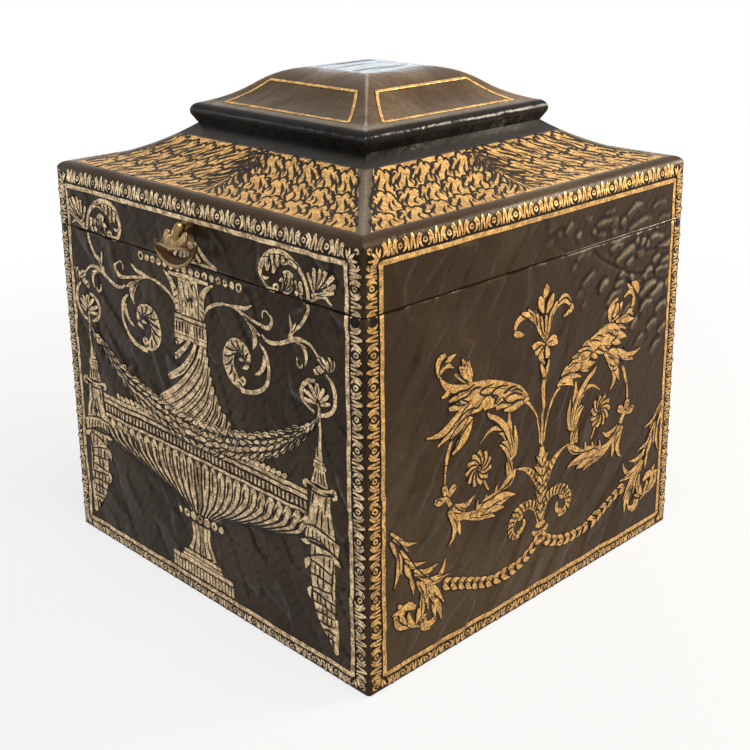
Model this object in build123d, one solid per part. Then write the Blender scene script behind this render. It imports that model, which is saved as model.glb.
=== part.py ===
from build123d import *
import os
from math import asin, atan2, cos, degrees, radians, sin

# A leather-covered wooden deed box with a stepped, moulded lid on two butt hinges and a cast
# brass pull. Millimetres, +Z up. The origin is the centre of the underside.

# ---- driving dimensions ----
BOX_WIDTH = 320.0           # X, over the leather
BOX_DEPTH = 320.0           # Y, over the leather
BODY_TOP = 242.0            # top of the body's leather rim
SEAM_GAP = 0.8              # gap between body and closed lid

BOARD = 9.0                 # wall boards and lid rails
LEATHER = 1.5               # leather skin and its turned-in rims
FELT = 0.8                  # felt under the box
FELT_INSET = 3.0            # felt's edge in from the leather
CORNER_R = 2.5              # rounded upright corners
LAP = 4.0                   # how far the side boards lap into the front and back ones
REBATE = 4.5                # how far the bottom and the deck are let into the walls
BOTTOM_BOARD = 8.0
DECK_BOARD = 6.0
LINING = 1.0                # paper-covered card lining
LINING_SETBACK = 3.0        # lining's edge back from the rim of body or lid
LINING_GAP = 0.1            # between linings that meet
MITRE_LAND = 1.0            # half width left at the inner end of the shorter mitred side

# ---- lid profile, in (inset from the leather face, height) ----
RIM_HEIGHT = 38.2           # the lid's straight rim
SHOULDER_R = 7.0            # rounded shoulder above it
RAIL_DROP = 1.0             # top of the wooden rails and deck, below the shoulder's foot
COVE_START_SLOPE = 6.0      # degrees, where the hollow leaves the shoulder
COVE_SPAN = 67.0            # level run of the hollow, from the shoulder to the crease
COVE_RISE = 27.0
COVE_SEAT = 23.0            # flat on the cove moulding that the cap sits on
COVE_BACK = 12.0            # upright inner face below that flat
COVE_FOOT = 58.5            # width of the cove moulding on the deck
NOSE_R = 6.0                # rounded lip of the cap
NOSE_OVERHANG = 4.0         # how far the lip stands out over the crease
NOSE_RISE = 8.5             # lip's centre above the crease
NOSE_END_SLOPE = 12.9       # degrees, where the lip meets the ogee
OGEE_SLOPE = 38.7           # degrees, steepest point of the ogee
OGEE_LOWER_R = 72.0         # hollow part of the ogee
OGEE_UPPER_R = 48.0         # rounded part of the ogee
TOP_BOARD = 6.0             # small board that closes the cap
TOP_LEDGE = 6.0             # ledge under that board
LEDGE_THICK = 4.0
CAP_WALL_RISE = 4.0         # upright inner foot of the cap moulding

# ---- hinges ----
HINGE_END = 70.0            # hinge centre to the end of the box
HINGE_LENGTH = 38.0
HINGE_AXIS_OUT = 3.6        # axis behind the back leather
LEAF_GAP = 0.2              # between the closed leaves
LEAF_INSET = 9.5            # how far a leaf reaches in from the back leather
KNUCKLE_R = 2.5
KNUCKLE_MIDDLE = 12.4       # length of the lid leaf's knuckle
KNUCKLE_GAP = 0.2           # between neighbouring knuckles
KNUCKLE_RELIEF = 0.15       # round a knuckle of the other leaf
PIN_R = 1.25
PIN_CLEARANCE = 0.05
PIN_HEAD_R = 2.0
PIN_HEAD = 0.8
LUG_WIDTH = 9.0             # stop lug on the lid leaf's knuckle
LUG_REACH = 5.5
LUG_THICK = 3.0
TAIL_WIDTH = 10.0           # tail of the body leaf that the lug meets
TAIL_THICK = 1.2
TAIL_DROP = 6.5             # below the axis
MORTISE_GAP = 0.1
SCREW_R = 1.4
SCREW_HEAD_R = 2.6
SCREW_HEAD = 1.2
SCREW_LENGTH = 12.0
SCREW_PITCH = 13.0
SCREW_INSET = 5.5           # screw centres in from the back leather
SCREWS_PER_LEAF = 3

# ---- brass pull, on the middle of the lid's front ----
PULL_PIVOT_UP = 23.7        # pivot above the lid's lower edge
PULL_PIVOT_OUT = 4.6        # pivot in front of the leather
PULL_PIN_R = 1.1
PULL_PIN_CLEARANCE = 0.06
PULL_LUG_R = 2.4
PULL_LUG_THICK = 2.1
PULL_TONGUE = 7.4           # width of the tongue between the lugs
PULL_SIDE_GAP = 0.2
PULL_PLATE = 12.2           # square plate against the leather
PULL_PLATE_THICK = 1.5
PULL_PLATE_DROP = 2.5       # plate's centre below the pivot
PULL_REST_GAP = 0.1         # heel of the drop to the plate
PULL_SHANK_R = 1.5
NUT_ACROSS_FLATS = 5.5
NUT_THICK = 2.4
NUT_POCKET_R = 3.5
NUT_POCKET = 3.0

# ---- values that follow ----
HALF_X = BOX_WIDTH / 2
HALF_Y = BOX_DEPTH / 2
LID_BOTTOM = BODY_TOP + SEAM_GAP
SHOULDER_Z = LID_BOTTOM + RIM_HEIGHT
RAIL_TOP = SHOULDER_Z - RAIL_DROP
WALL = LEATHER + BOARD
BOARD_TOP = BODY_TOP - LEATHER
RAIL_BOTTOM = LID_BOTTOM + LEATHER
FLOOR = FELT + BOTTOM_BOARD
CEILING = RAIL_TOP - DECK_BOARD
LEAF = LEATHER + (SEAM_GAP - LEAF_GAP) / 2
AXIS_Y = HALF_Y + HINGE_AXIS_OUT
AXIS_Z = BODY_TOP + SEAM_GAP / 2
HINGE_X = HALF_X - HINGE_END
PULL_Y = -HALF_Y - PULL_PIVOT_OUT
PULL_PIVOT_Z = LID_BOTTOM + PULL_PIVOT_UP
MITRE_REACH = min(HALF_X, HALF_Y) - MITRE_LAND

nodes = {}


# ---- helpers ----
def block(x, y, z):
    """A box given by its (low, high) pairs."""
    size = (x[1] - x[0], y[1] - y[0], z[1] - z[0])
    centre = ((x[0] + x[1]) / 2, (y[0] + y[1]) / 2, (z[0] + z[1]) / 2)
    return Pos(*centre) * Box(*size)


def slab(inset, z):
    """A board that covers the plan, less an inset on every side."""
    return block((inset - HALF_X, HALF_X - inset), (inset - HALF_Y, HALF_Y - inset), z)


def rod(radius, x, y, z):
    """A cylinder along X."""
    turned = Pos((x[0] + x[1]) / 2, y, z) * Rot(0, 90, 0)
    return turned * Cylinder(radius, x[1] - x[0])


# Each side's outer face centre and the direction that leads inwards from it.
SIDES = {
    "front": ((0, -HALF_Y, 0), (0, 1, 0)),
    "back": ((0, HALF_Y, 0), (0, -1, 0)),
    "left": ((-HALF_X, 0, 0), (1, 0, 0)),
    "right": ((HALF_X, 0, 0), (-1, 0, 0)),
}


def mitre_wedge(side):
    """The plan area nearer to this side than to its neighbours, as a tall prism."""
    along = HALF_X if side in ("front", "back") else HALF_Y
    (cx, cy, _), (dx, dy, _) = SIDES[side]
    corners = []
    for inset, share in ((0, -1), (0, 1), (MITRE_REACH, 1), (MITRE_REACH, -1)):
        reach = share * (along - inset)
        corners.append((cx + dx * inset - dy * reach, cy + dy * inset + dx * reach))
    plan = make_face(Polyline(*corners, close=True))
    return extrude(plan, CAP_TOP + LEATHER)


def run_round(section):
    """A section in (inset, height), run along all four sides and mitred at the corners."""
    pieces = {}
    for side, (origin, inwards) in SIDES.items():
        along = Vector(*inwards).cross(Vector(0, 0, 1))
        plane = Plane(origin=origin, x_dir=inwards, z_dir=along)
        length = HALF_X if side in ("front", "back") else HALF_Y
        bar = extrude(plane * section, length, both=True)
        pieces[side] = bar & mitre_wedge(side)
    return pieces


def box_walls(z_low, z_high, rebate_z):
    """Four lapped boards, rebated for a panel that is let into them."""
    inside = slab(WALL, (z_low, z_high))
    seat = slab(WALL - REBATE, rebate_z)
    lap_x = (HALF_X - WALL, HALF_X - LEATHER)
    walls = {}
    for side, sign in (("front", -1), ("back", 1)):
        y = sorted((sign * (HALF_Y - LEATHER), sign * (HALF_Y - WALL)))
        board = block((LEATHER - HALF_X, HALF_X - LEATHER), y, (z_low, z_high))
        lap_y = sorted((sign * (HALF_Y - WALL + LAP), sign * (HALF_Y - WALL)))
        for x in (lap_x, (-lap_x[1], -lap_x[0])):
            board -= block(x, lap_y, (z_low, z_high))
        walls[side] = board - seat
    reach = HALF_Y - WALL + LAP
    for side, sign in (("left", -1), ("right", 1)):
        x = sorted((sign * lap_x[0], sign * lap_x[1]))
        walls[side] = block(x, (-reach, reach), (z_low, z_high)) - inside - seat
    return walls


def box_linings(z_low, z_high):
    """Four thin linings against the walls; the side ones fit between the other two."""
    linings = {}
    x_in, y_in = HALF_X - WALL, HALF_Y - WALL
    for side, sign in (("front", -1), ("back", 1)):
        y = sorted((sign * y_in, sign * (y_in - LINING)))
        linings[side] = block((-x_in, x_in), y, (z_low, z_high))
    reach = y_in - LINING - LINING_GAP
    for side, sign in (("left", -1), ("right", 1)):
        x = sorted((sign * x_in, sign * (x_in - LINING)))
        linings[side] = block(x, (-reach, reach), (z_low, z_high))
    return linings


# ---- lid profile ----
def heading(angle):
    """Unit vector in (inset, height) at an angle in degrees above level."""
    return Vector(cos(radians(angle)), sin(radians(angle)))


def into(angle):
    """Unit vector into the wood, square to that heading."""
    return Vector(sin(radians(angle)), -cos(radians(angle)))


def turn(start, slope_from, slope_to, radius, depth):
    """An arc of the profile, moved into the wood by depth. Hollow where the slope rises."""
    hollow = slope_to > slope_from
    moved = start + into(slope_from) * depth
    size = slope_to - slope_from
    return JernArc(moved, heading(slope_from), radius + (depth if hollow else -depth), size)


SHOULDER_START = Vector(0, SHOULDER_Z)
SHOULDER_END = SHOULDER_START + (into(90) - into(0)) * SHOULDER_R

cove_chord = Vector(COVE_SPAN, COVE_RISE)
CREASE = SHOULDER_END + cove_chord
CREASE_Z = CREASE.Y
cove_chord_slope = degrees(atan2(cove_chord.Y, cove_chord.X))
cove_half_turn = cove_chord_slope - COVE_START_SLOPE
COVE_END_SLOPE = cove_chord_slope + cove_half_turn
COVE_R = cove_chord.length / (2 * sin(radians(cove_half_turn)))

nose_centre = CREASE + Vector(NOSE_R - NOSE_OVERHANG, NOSE_RISE)
nose_leg = nose_centre - CREASE
NOSE_START_SLOPE = degrees(atan2(nose_leg.Y, nose_leg.X) + asin(NOSE_R / nose_leg.length))
NOSE_START = nose_centre - into(NOSE_START_SLOPE) * NOSE_R
NOSE_END = nose_centre - into(NOSE_END_SLOPE) * NOSE_R
OGEE_MIDDLE = NOSE_END + (into(OGEE_SLOPE) - into(NOSE_END_SLOPE)) * OGEE_LOWER_R
OGEE_END = OGEE_MIDDLE + (into(OGEE_SLOPE) - into(0)) * OGEE_UPPER_R
CAP_TOP_INSET, CAP_TOP = OGEE_END.X, OGEE_END.Y


def shoulder(depth):
    return turn(SHOULDER_START, 90, 0, SHOULDER_R, depth)


def cove(depth):
    return turn(SHOULDER_END, COVE_START_SLOPE, COVE_END_SLOPE, COVE_R, depth)


def lip_foot(depth):
    """Where the underside of the lip meets the crease's height."""
    on_line = NOSE_START + into(NOSE_START_SLOPE) * depth
    back = (on_line.Y - CREASE_Z) / sin(radians(NOSE_START_SLOPE))
    return on_line - heading(NOSE_START_SLOPE) * back


def cap(depth):
    """The cap's surface from the crease to the edge of its flat top."""
    return [
        Line(lip_foot(depth), NOSE_START + into(NOSE_START_SLOPE) * depth),
        turn(NOSE_START, NOSE_START_SLOPE, NOSE_END_SLOPE, NOSE_R, depth),
        turn(NOSE_END, NOSE_END_SLOPE, OGEE_SLOPE, OGEE_LOWER_R, depth),
        turn(OGEE_MIDDLE, OGEE_SLOPE, 0, OGEE_UPPER_R, depth),
    ]


def outline(*pieces):
    """A closed section from lines and arcs that meet end to end."""
    return make_face([edge for piece in pieces for edge in piece.edges()])


# ---- body ----
def add_body():
    for side, board in box_walls(FELT, BOARD_TOP, (FELT, FLOOR)).items():
        nodes[f"{side}_board"] = board
    nodes["bottom_board"] = slab(WALL - REBATE, (FELT, FLOOR))
    nodes["base_felt"] = slab(FELT_INSET, (0, FELT))

    skin = outline(
        Polyline(
            (0, FELT), (0, BODY_TOP), (WALL, BODY_TOP), (WALL, BOARD_TOP),
            (LEATHER, BOARD_TOP), (LEATHER, FELT), close=True,
        )
    )
    for side, panel in run_round(skin).items():
        nodes[f"{side}_leather"] = panel & rounded_plan
    nodes["back_leather"] -= hinge_mortises((BOARD_TOP, BODY_TOP))

    nodes["floor_lining"] = slab(WALL, (FLOOR, FLOOR + LINING))
    lining_z = (FLOOR + LINING + LINING_GAP, BODY_TOP - LINING_SETBACK)
    for side, lining in box_linings(*lining_z).items():
        nodes[f"{side}_lining"] = lining


# ---- lid ----
def add_lid():
    for side, rail in box_walls(RAIL_BOTTOM, RAIL_TOP, (CEILING, RAIL_TOP)).items():
        nodes[f"lid_{side}_rail"] = rail
    nodes["lid_deck"] = slab(WALL - REBATE, (CEILING, RAIL_TOP))

    rim_skin = outline(
        shoulder(0),
        Line(SHOULDER_END, SHOULDER_END + into(0) * LEATHER),
        shoulder(LEATHER),
        Polyline(
            (LEATHER, SHOULDER_Z), (LEATHER, RAIL_BOTTOM), (WALL, RAIL_BOTTOM),
            (WALL, LID_BOTTOM), (0, LID_BOTTOM), SHOULDER_START,
        ),
    )
    for side, panel in run_round(rim_skin).items():
        nodes[f"lid_{side}_rim_leather"] = panel & rounded_plan
    nodes["lid_back_rim_leather"] -= hinge_mortises((LID_BOTTOM, RAIL_BOTTOM))

    foot, top = cove(LEATHER) @ 0, cove(LEATHER) @ 1
    under_shoulder = SHOULDER_END + into(0) * LEATHER
    cove_wood = outline(
        shoulder(LEATHER),
        Line(under_shoulder, foot),
        cove(LEATHER),
        Polyline(
            top, (top.X, CREASE_Z), (top.X + COVE_SEAT, CREASE_Z),
            (top.X + COVE_SEAT, CREASE_Z - COVE_BACK), (LEATHER + COVE_FOOT, RAIL_TOP),
            (LEATHER, RAIL_TOP), (LEATHER, SHOULDER_Z),
        ),
    )
    for side, moulding in run_round(cove_wood).items():
        nodes[f"{side}_cove_moulding"] = moulding
    cove_skin = outline(
        cove(0),
        Polyline(CREASE, (top.X, CREASE_Z), top),
        cove(LEATHER),
        Polyline(foot, under_shoulder, SHOULDER_END),
    )
    for side, panel in run_round(cove_skin).items():
        nodes[f"{side}_cove_leather"] = panel

    wood_top = CAP_TOP - LEATHER
    seat = wood_top - TOP_BOARD
    ledge = CAP_TOP_INSET + TOP_LEDGE
    cap_wood = outline(
        *cap(LEATHER),
        Polyline(
            (CAP_TOP_INSET, wood_top), (CAP_TOP_INSET, seat), (ledge, seat), (ledge, seat - LEDGE_THICK),
            (top.X + COVE_SEAT, CREASE_Z + CAP_WALL_RISE), (top.X + COVE_SEAT, CREASE_Z),
            lip_foot(LEATHER),
        ),
    )
    for side, moulding in run_round(cap_wood).items():
        nodes[f"{side}_cap_moulding"] = moulding
    cap_skin = outline(
        *cap(0),
        Line(OGEE_END, (CAP_TOP_INSET, wood_top)),
        *cap(LEATHER),
        Line(lip_foot(0), lip_foot(LEATHER)),
    )
    for side, panel in run_round(cap_skin).items():
        nodes[f"{side}_cap_leather"] = panel
    nodes["cap_top_board"] = slab(CAP_TOP_INSET, (seat, wood_top))
    nodes["cap_top_leather"] = slab(CAP_TOP_INSET, (wood_top, CAP_TOP))

    nodes["ceiling_lining"] = slab(WALL, (CEILING - LINING, CEILING))
    lining_z = (LID_BOTTOM + LINING_SETBACK, CEILING - LINING - LINING_GAP)
    for side, lining in box_linings(*lining_z).items():
        nodes[f"lid_{side}_lining"] = lining


# ---- hinges ----
def hinge_mortises(z):
    half = HINGE_LENGTH / 2 + MORTISE_GAP
    y = (HALF_Y - LEAF_INSET - MORTISE_GAP, HALF_Y + LEATHER)
    return [block((x - half, x + half), y, z) for x in (-HINGE_X, HINGE_X)]


def screw_places(x):
    first = x - SCREW_PITCH * (SCREWS_PER_LEAF - 1) / 2
    return [(first + i * SCREW_PITCH, HALF_Y - SCREW_INSET) for i in range(SCREWS_PER_LEAF)]


def screw(x, y, face_z, down):
    """A countersunk wood screw with its head flush at face_z; down is 1 or -1."""
    radii = (SCREW_R, SCREW_HEAD_R) if down == 1 else (SCREW_HEAD_R, SCREW_R)
    head = Pos(x, y, face_z - down * SCREW_HEAD / 2) * Cone(*radii, SCREW_HEAD)
    shank = Pos(x, y, face_z - down * SCREW_LENGTH / 2) * Cylinder(SCREW_R, SCREW_LENGTH)
    return head + shank


def add_hinge(name, x):
    half = HINGE_LENGTH / 2
    middle = KNUCKLE_MIDDLE / 2
    leaf_y = (HALF_Y - LEAF_INSET, AXIS_Y)
    relief = KNUCKLE_R + KNUCKLE_RELIEF
    bore = rod(PIN_R + PIN_CLEARANCE, (x - half, x + half), AXIS_Y, AXIS_Z)
    pin_hole = rod(PIN_R, (x - half, x + half), AXIS_Y, AXIS_Z)

    lower_z = (BOARD_TOP, BOARD_TOP + LEAF)
    lower = block((x - half, x + half), leaf_y, lower_z)
    for low, high in ((x - half, x - middle - KNUCKLE_GAP), (x + middle + KNUCKLE_GAP, x + half)):
        lower += rod(KNUCKLE_R, (low, high), AXIS_Y, AXIS_Z)
    gap_x = (x - middle - KNUCKLE_GAP, x + middle + KNUCKLE_GAP)
    lower -= block(gap_x, (AXIS_Y - relief, AXIS_Y + relief), (AXIS_Z - relief, AXIS_Z + relief))
    tail_y = (HALF_Y, HALF_Y + TAIL_THICK)
    tail_x = (x - TAIL_WIDTH / 2, x + TAIL_WIDTH / 2)
    lower += block(tail_x, tail_y, (AXIS_Z - TAIL_DROP, BOARD_TOP))

    upper_z = (RAIL_BOTTOM - LEAF, RAIL_BOTTOM)
    upper = block((x - half, x + half), (leaf_y[0], AXIS_Y - relief), upper_z)
    upper += block((x - middle, x + middle), leaf_y, upper_z)
    upper += rod(KNUCKLE_R, (x - middle, x + middle), AXIS_Y, AXIS_Z)
    lug_x = (x - LUG_WIDTH / 2, x + LUG_WIDTH / 2)
    lug_z = (AXIS_Z - LUG_THICK / 2, AXIS_Z + LUG_THICK / 2)
    upper += block(lug_x, (AXIS_Y, AXIS_Y + LUG_REACH), lug_z)

    lower_screws = [screw(sx, sy, BOARD_TOP + LEAF, 1) for sx, sy in screw_places(x)]
    upper_screws = [screw(sx, sy, RAIL_BOTTOM - LEAF, -1) for sx, sy in screw_places(x)]
    nodes[f"{name}_hinge_body_leaf"] = lower - pin_hole - lower_screws
    nodes[f"{name}_hinge_lid_leaf"] = upper - bore - upper_screws
    pin = rod(PIN_R, (x - half - PIN_HEAD / 2, x + half + PIN_HEAD / 2), AXIS_Y, AXIS_Z)
    for low in (x - half - PIN_HEAD, x + half):
        pin += rod(PIN_HEAD_R, (low, low + PIN_HEAD), AXIS_Y, AXIS_Z)
    nodes[f"{name}_hinge_pin"] = pin
    return lower_screws, upper_screws


def add_hinges():
    lower_screws, upper_screws = [], []
    for name, x in (("left", -HINGE_X), ("right", HINGE_X)):
        lower, upper = add_hinge(name, x)
        lower_screws += lower
        upper_screws += upper
    nodes["hinge_body_screws"] = Compound(lower_screws)
    nodes["hinge_lid_screws"] = Compound(upper_screws)
    nodes["back_board"] -= lower_screws
    nodes["lid_back_rail"] -= upper_screws


# ---- pull ----
# Outlines of the drop, from its pivot: sideways and upwards for the front, outwards (in front of
# the pivot) and upwards for the side.
DROP_FOOT = -23.0           # lowest point
HORN = (21.0, -8.3)         # tips at both ends of the lower crescent
NOTCH = (14.0, -9.4)
EAR = ((10.0, -4.6), (11.2, -1.2), (8.2, -0.2))
SHOULDERS = ((5.4, -2.6), (3.7, 1.6))
EYE_TIP = (11.6, -9.6)      # ends of the pierced crescent
EYE_TOP = -11.0
EYE_FOOT = -16.2
SHELL_OUTSIDE = ((2.2, 1.6), (4.6, 1.6), (7.4, -1.5), (10.2, -8.3), (9.9, -15.0), (8.4, -23.0))
SHELL_INSIDE = ((5.4, -23.0), (6.7, -15.0), (6.9, -8.5), (4.4, -3.0))
TONGUE = (
    (0.9, 4.2), (1.3, 5.2), (2.4, 5.0), (4.6, 1.6), (7.2, -2.2), (6.2, -5.0), (1.0, -6.6),
)
HEEL = (-6.0, -3.0)         # height of the heel that rests on the plate


def add_drop():
    """The cast drop: a pierced shell, a tongue at its top and the knuckle that turns on the pin."""
    front = Plane(origin=(0, PULL_Y, PULL_PIVOT_Z), x_dir=(1, 0, 0), z_dir=(0, -1, 0))
    side = Plane(origin=(0, PULL_Y, PULL_PIVOT_Z), x_dir=(0, -1, 0), z_dir=(-1, 0, 0))

    half = [HORN, NOTCH, *EAR, *SHOULDERS]
    rim = Polyline(*half, *[(-x, z) for x, z in reversed(half)])
    foot = ThreePointArc((-HORN[0], HORN[1]), (0, DROP_FOOT), HORN)
    eye_ends = ((-EYE_TIP[0], EYE_TIP[1]), EYE_TIP)
    eye = outline(*[ThreePointArc(eye_ends[0], (0, z), eye_ends[1]) for z in (EYE_TOP, EYE_FOOT)])
    shell_side = make_face(Polyline(*SHELL_OUTSIDE, *SHELL_INSIDE, close=True))
    shell_reach = max(out for out, _ in SHELL_OUTSIDE)
    shell = extrude(side * shell_side, HORN[0], both=True)
    shell &= extrude(front * (outline(rim, foot) - eye), shell_reach)

    heel_out = PULL_REST_GAP + PULL_PLATE_THICK - PULL_PIVOT_OUT
    tongue_side = Polyline(*TONGUE, (heel_out, HEEL[0]), (heel_out, HEEL[1]), close=True)
    tongue = extrude(side * make_face(tongue_side), PULL_TONGUE / 2, both=True)
    ends = (-PULL_TONGUE / 2, PULL_TONGUE / 2)
    knuckle = rod(PULL_LUG_R, ends, PULL_Y, PULL_PIVOT_Z)
    hole = rod(PULL_PIN_R + PULL_PIN_CLEARANCE, ends, PULL_Y, PULL_PIVOT_Z)
    nodes["pull_drop"] = shell + tongue + knuckle - hole


def add_bracket():
    """The plate with two lugs for the pin, and a threaded shank through the rail to a nut."""
    plate_z = PULL_PIVOT_Z - PULL_PLATE_DROP
    plate_half = PULL_PLATE / 2
    plate_y = (-HALF_Y - PULL_PLATE_THICK, -HALF_Y)
    bracket = block((-plate_half, plate_half), plate_y, (plate_z - plate_half, plate_z + plate_half))
    lug_low = PULL_TONGUE / 2 + PULL_SIDE_GAP
    lug_high = lug_low + PULL_LUG_THICK
    lug_z = (PULL_PIVOT_Z - PULL_LUG_R, PULL_PIVOT_Z + PULL_LUG_R)
    for x in ((lug_low, lug_high), (-lug_high, -lug_low)):
        bracket += block(x, (PULL_Y, plate_y[0]), lug_z)
        bracket += rod(PULL_LUG_R, x, PULL_Y, PULL_PIVOT_Z)
    pin = rod(PULL_PIN_R, (-lug_high, lug_high), PULL_Y, PULL_PIVOT_Z)

    rail_inside = -HALF_Y + WALL
    through = Rot(90, 0, 0) * Cylinder(PULL_SHANK_R, WALL)
    shank = Pos(0, -HALF_Y + WALL / 2, plate_z) * through
    pocket = Rot(90, 0, 0) * Cylinder(NUT_POCKET_R, NUT_POCKET)
    pocket = Pos(0, rail_inside - NUT_POCKET / 2, plate_z) * pocket
    nut_plane = Plane(origin=(0, rail_inside - NUT_POCKET, plate_z), z_dir=(0, 1, 0))
    hexagon = RegularPolygon(NUT_ACROSS_FLATS / 2, 6, major_radius=False)

    nodes["pull_bracket"] = bracket - pin + shank
    nodes["pull_pin"] = pin
    nodes["pull_nut"] = extrude(nut_plane * hexagon, NUT_THICK) - shank
    nodes["lid_front_rail"] -= [shank, pocket]
    nodes["lid_front_rim_leather"] -= shank


rounded_plan = extrude(RectangleRounded(BOX_WIDTH, BOX_DEPTH, CORNER_R), CAP_TOP)
add_body()
add_lid()
add_hinges()
add_drop()
add_bracket()

os.makedirs("parts", exist_ok=True)
for name, shape in nodes.items():
    export_step(shape, f"parts/{name}.step")
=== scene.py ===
"""Looks of a square leather-covered deed box with gilt tooling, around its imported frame."""
from collections import namedtuple
from math import cos, pi, radians, sin
import bpy
import numpy as np
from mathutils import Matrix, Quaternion, Vector


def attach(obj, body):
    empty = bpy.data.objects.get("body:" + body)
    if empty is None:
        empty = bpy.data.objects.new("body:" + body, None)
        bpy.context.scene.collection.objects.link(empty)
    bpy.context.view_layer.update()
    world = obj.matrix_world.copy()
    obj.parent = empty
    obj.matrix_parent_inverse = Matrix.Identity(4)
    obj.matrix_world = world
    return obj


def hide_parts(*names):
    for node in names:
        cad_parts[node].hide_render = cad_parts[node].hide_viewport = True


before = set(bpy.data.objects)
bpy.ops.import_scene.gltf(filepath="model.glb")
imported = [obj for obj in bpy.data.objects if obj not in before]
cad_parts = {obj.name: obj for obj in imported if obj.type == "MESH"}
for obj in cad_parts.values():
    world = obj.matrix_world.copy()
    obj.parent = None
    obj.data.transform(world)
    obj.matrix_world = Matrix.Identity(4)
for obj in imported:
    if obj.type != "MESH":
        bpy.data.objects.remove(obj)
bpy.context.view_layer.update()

MM = 0.001
scene = bpy.context.scene
scene.view_settings.view_transform = 'Standard'


# ---------------------------------------------------------------- materials
class Finish:
    """A node material, built by chaining small node calls."""

    def __init__(self, name):
        self.mat = bpy.data.materials.new(name)
        self.mat.use_nodes = True
        self.tree = self.mat.node_tree
        self.shader = self.tree.nodes["Principled BSDF"]
        self.coord = self.tree.nodes.new('ShaderNodeTexCoord').outputs['Object']

    def plug(self, value, socket):
        if isinstance(value, bpy.types.NodeSocket):
            self.tree.links.new(value, socket)
        else:
            socket.default_value = value

    def node(self, kind, inputs=None, out=0, **settings):
        made = self.tree.nodes.new('ShaderNode' + kind)
        for key, value in settings.items():
            setattr(made, key, value)
        for key, value in (inputs or {}).items():
            self.plug(value, made.inputs[key])
        return made.outputs[out]

    def noise(self, scale, detail=2.0, rough=0.5, stretch=(1, 1, 1)):
        where = self.node('Mapping', {'Vector': self.coord, 'Scale': stretch})
        return self.node('TexNoise', {'Vector': where, 'Scale': scale, 'Detail': detail,
                                      'Roughness': rough})

    def span(self, value, low, high, to_low=0.0, to_high=1.0):
        return self.node('MapRange', {'Value': value, 'From Min': low, 'From Max': high,
                                      'To Min': to_low, 'To Max': to_high},
                         interpolation_type='SMOOTHSTEP')

    def sums(self, a, b, how='ADD'):
        return self.node('Math', {0: a, 1: b}, operation=how)

    def blend(self, factor, a, b):
        mix = self.tree.nodes.new('ShaderNodeMix')
        mix.data_type = 'RGBA'
        self.plug(factor, mix.inputs[0])
        for value, socket in ((a, mix.inputs[6]), (b, mix.inputs[7])):
            self.plug(value if isinstance(value, bpy.types.NodeSocket) else (*value, 1), socket)
        return mix.outputs[2]

    def bump(self, height, depth, strength=1.0, under=None):
        inputs = {'Height': height, 'Distance': depth, 'Strength': strength}
        if under is not None:
            inputs['Normal'] = under
        return self.node('Bump', inputs)

    def set(self, **values):
        for key, value in values.items():
            if isinstance(value, tuple) and len(value) == 3:
                value = (*value, 1)
            self.plug(value, self.shader.inputs[key.replace('_', ' ')])


def leather_finish(name, dark, pale_patch, gloss, shine=0.14, zones=None, cracks=0.0):
    """Waxed hide: fine grain, soft creases, cracks, and zones of its own. An attribute is high on
    crests, which are painted pale, partly as wear and partly as a painted highlight, and below 0
    in hollows, which are painted near black as shade."""
    f = Finish(name)
    f.ripple = None                      # zones may set it to a bump that lies under the rest
    patches = f.span(f.noise(9, 4, 0.6), 0.42, 0.68)
    grain = f.node('TexVoronoi', {'Vector': f.coord, 'Scale': 950.0})
    crease = f.noise(160, 3, 0.6)
    wander = f.node('TexNoise', {'Vector': f.coord, 'Scale': 40.0}, 1)
    wander = f.node('Mapping', {'Vector': wander, 'Scale': (0.02, 0.02, 0.02)})
    wander = f.node('VectorMath', {0: f.coord, 1: wander}, operation='ADD')
    crack = f.span(f.node('TexVoronoi', {'Vector': wander, 'Scale': 46.0},
                          feature='DISTANCE_TO_EDGE'), 0.0, 0.12)
    crack = f.sums(crack, f.span(f.noise(14, 2), 0.40, 0.52), 'MAXIMUM')
    colour = f.blend(patches, dark, pale_patch)
    wear_and_painted_light = f.node('Attribute', None, 2, attribute_name="wear_and_painted_light")
    # Painted highlight, partly wear: the crests are painted pale.
    colour = f.blend(f.span(wear_and_painted_light, 0.04, 0.85), colour, (0.195, 0.15, 0.095))
    # Painted shade: the hollows are painted near black; the band under the border is made near
    # black too.
    colour = f.blend(f.span(wear_and_painted_light, -0.5, -0.03, 0.88, 0.0), colour, (0.009, 0.006, 0.003))
    if zones:
        colour = zones(f, colour)
    specks = f.span(f.noise(420, 2), 0.35, 0.75, 0.0, 0.35)
    colour = f.blend(specks, colour, (0.012, 0.010, 0.008))
    rough = f.span(f.noise(30, 3), 0.3, 0.7, gloss - 0.05, gloss + 0.12)
    fine = f.bump(grain, 0.00006, 0.5, f.ripple)
    f.set(Base_Color=colour, Roughness=rough, Specular_IOR_Level=shine,
          Normal=f.bump(crack, 0.0012, cracks, f.bump(crease, 0.00035, 0.6, fine)))
    return f


def top_ripples(f, colour):
    """The flat top is pulled into long low ripples; their crests are painted pale grey, a painted
    reflection of the sky on the glossy top.
    """
    ripple = f.noise(70, 2, 0.5, stretch=(1, 0.16, 1))
    f.ripple = f.bump(ripple, 0.007, 1.0)
    # Painted reflection: the crests of the ripples are painted pale grey.
    return f.blend(f.span(ripple, 0.4, 0.6), colour, (0.16, 0.17, 0.17))


def along_hips(f, colour, pale, near, far):
    """Pale along the hips, where two slopes meet, partly rubbed wear and partly a painted
    highlight on
    the ridge: whole within near, none beyond far.
    """
    x, y = (f.sums(f.node('SeparateXYZ', {0: f.coord}, k), 0, 'ABSOLUTE') for k in range(2))
    off = f.sums(f.sums(x, y, 'SUBTRACT'), 0, 'ABSOLUTE')
    off = f.sums(off, f.sums(f.noise(60, 3), 0.006, 'MULTIPLY'))
    return f.blend(f.span(off, near, far), pale, colour)


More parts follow.
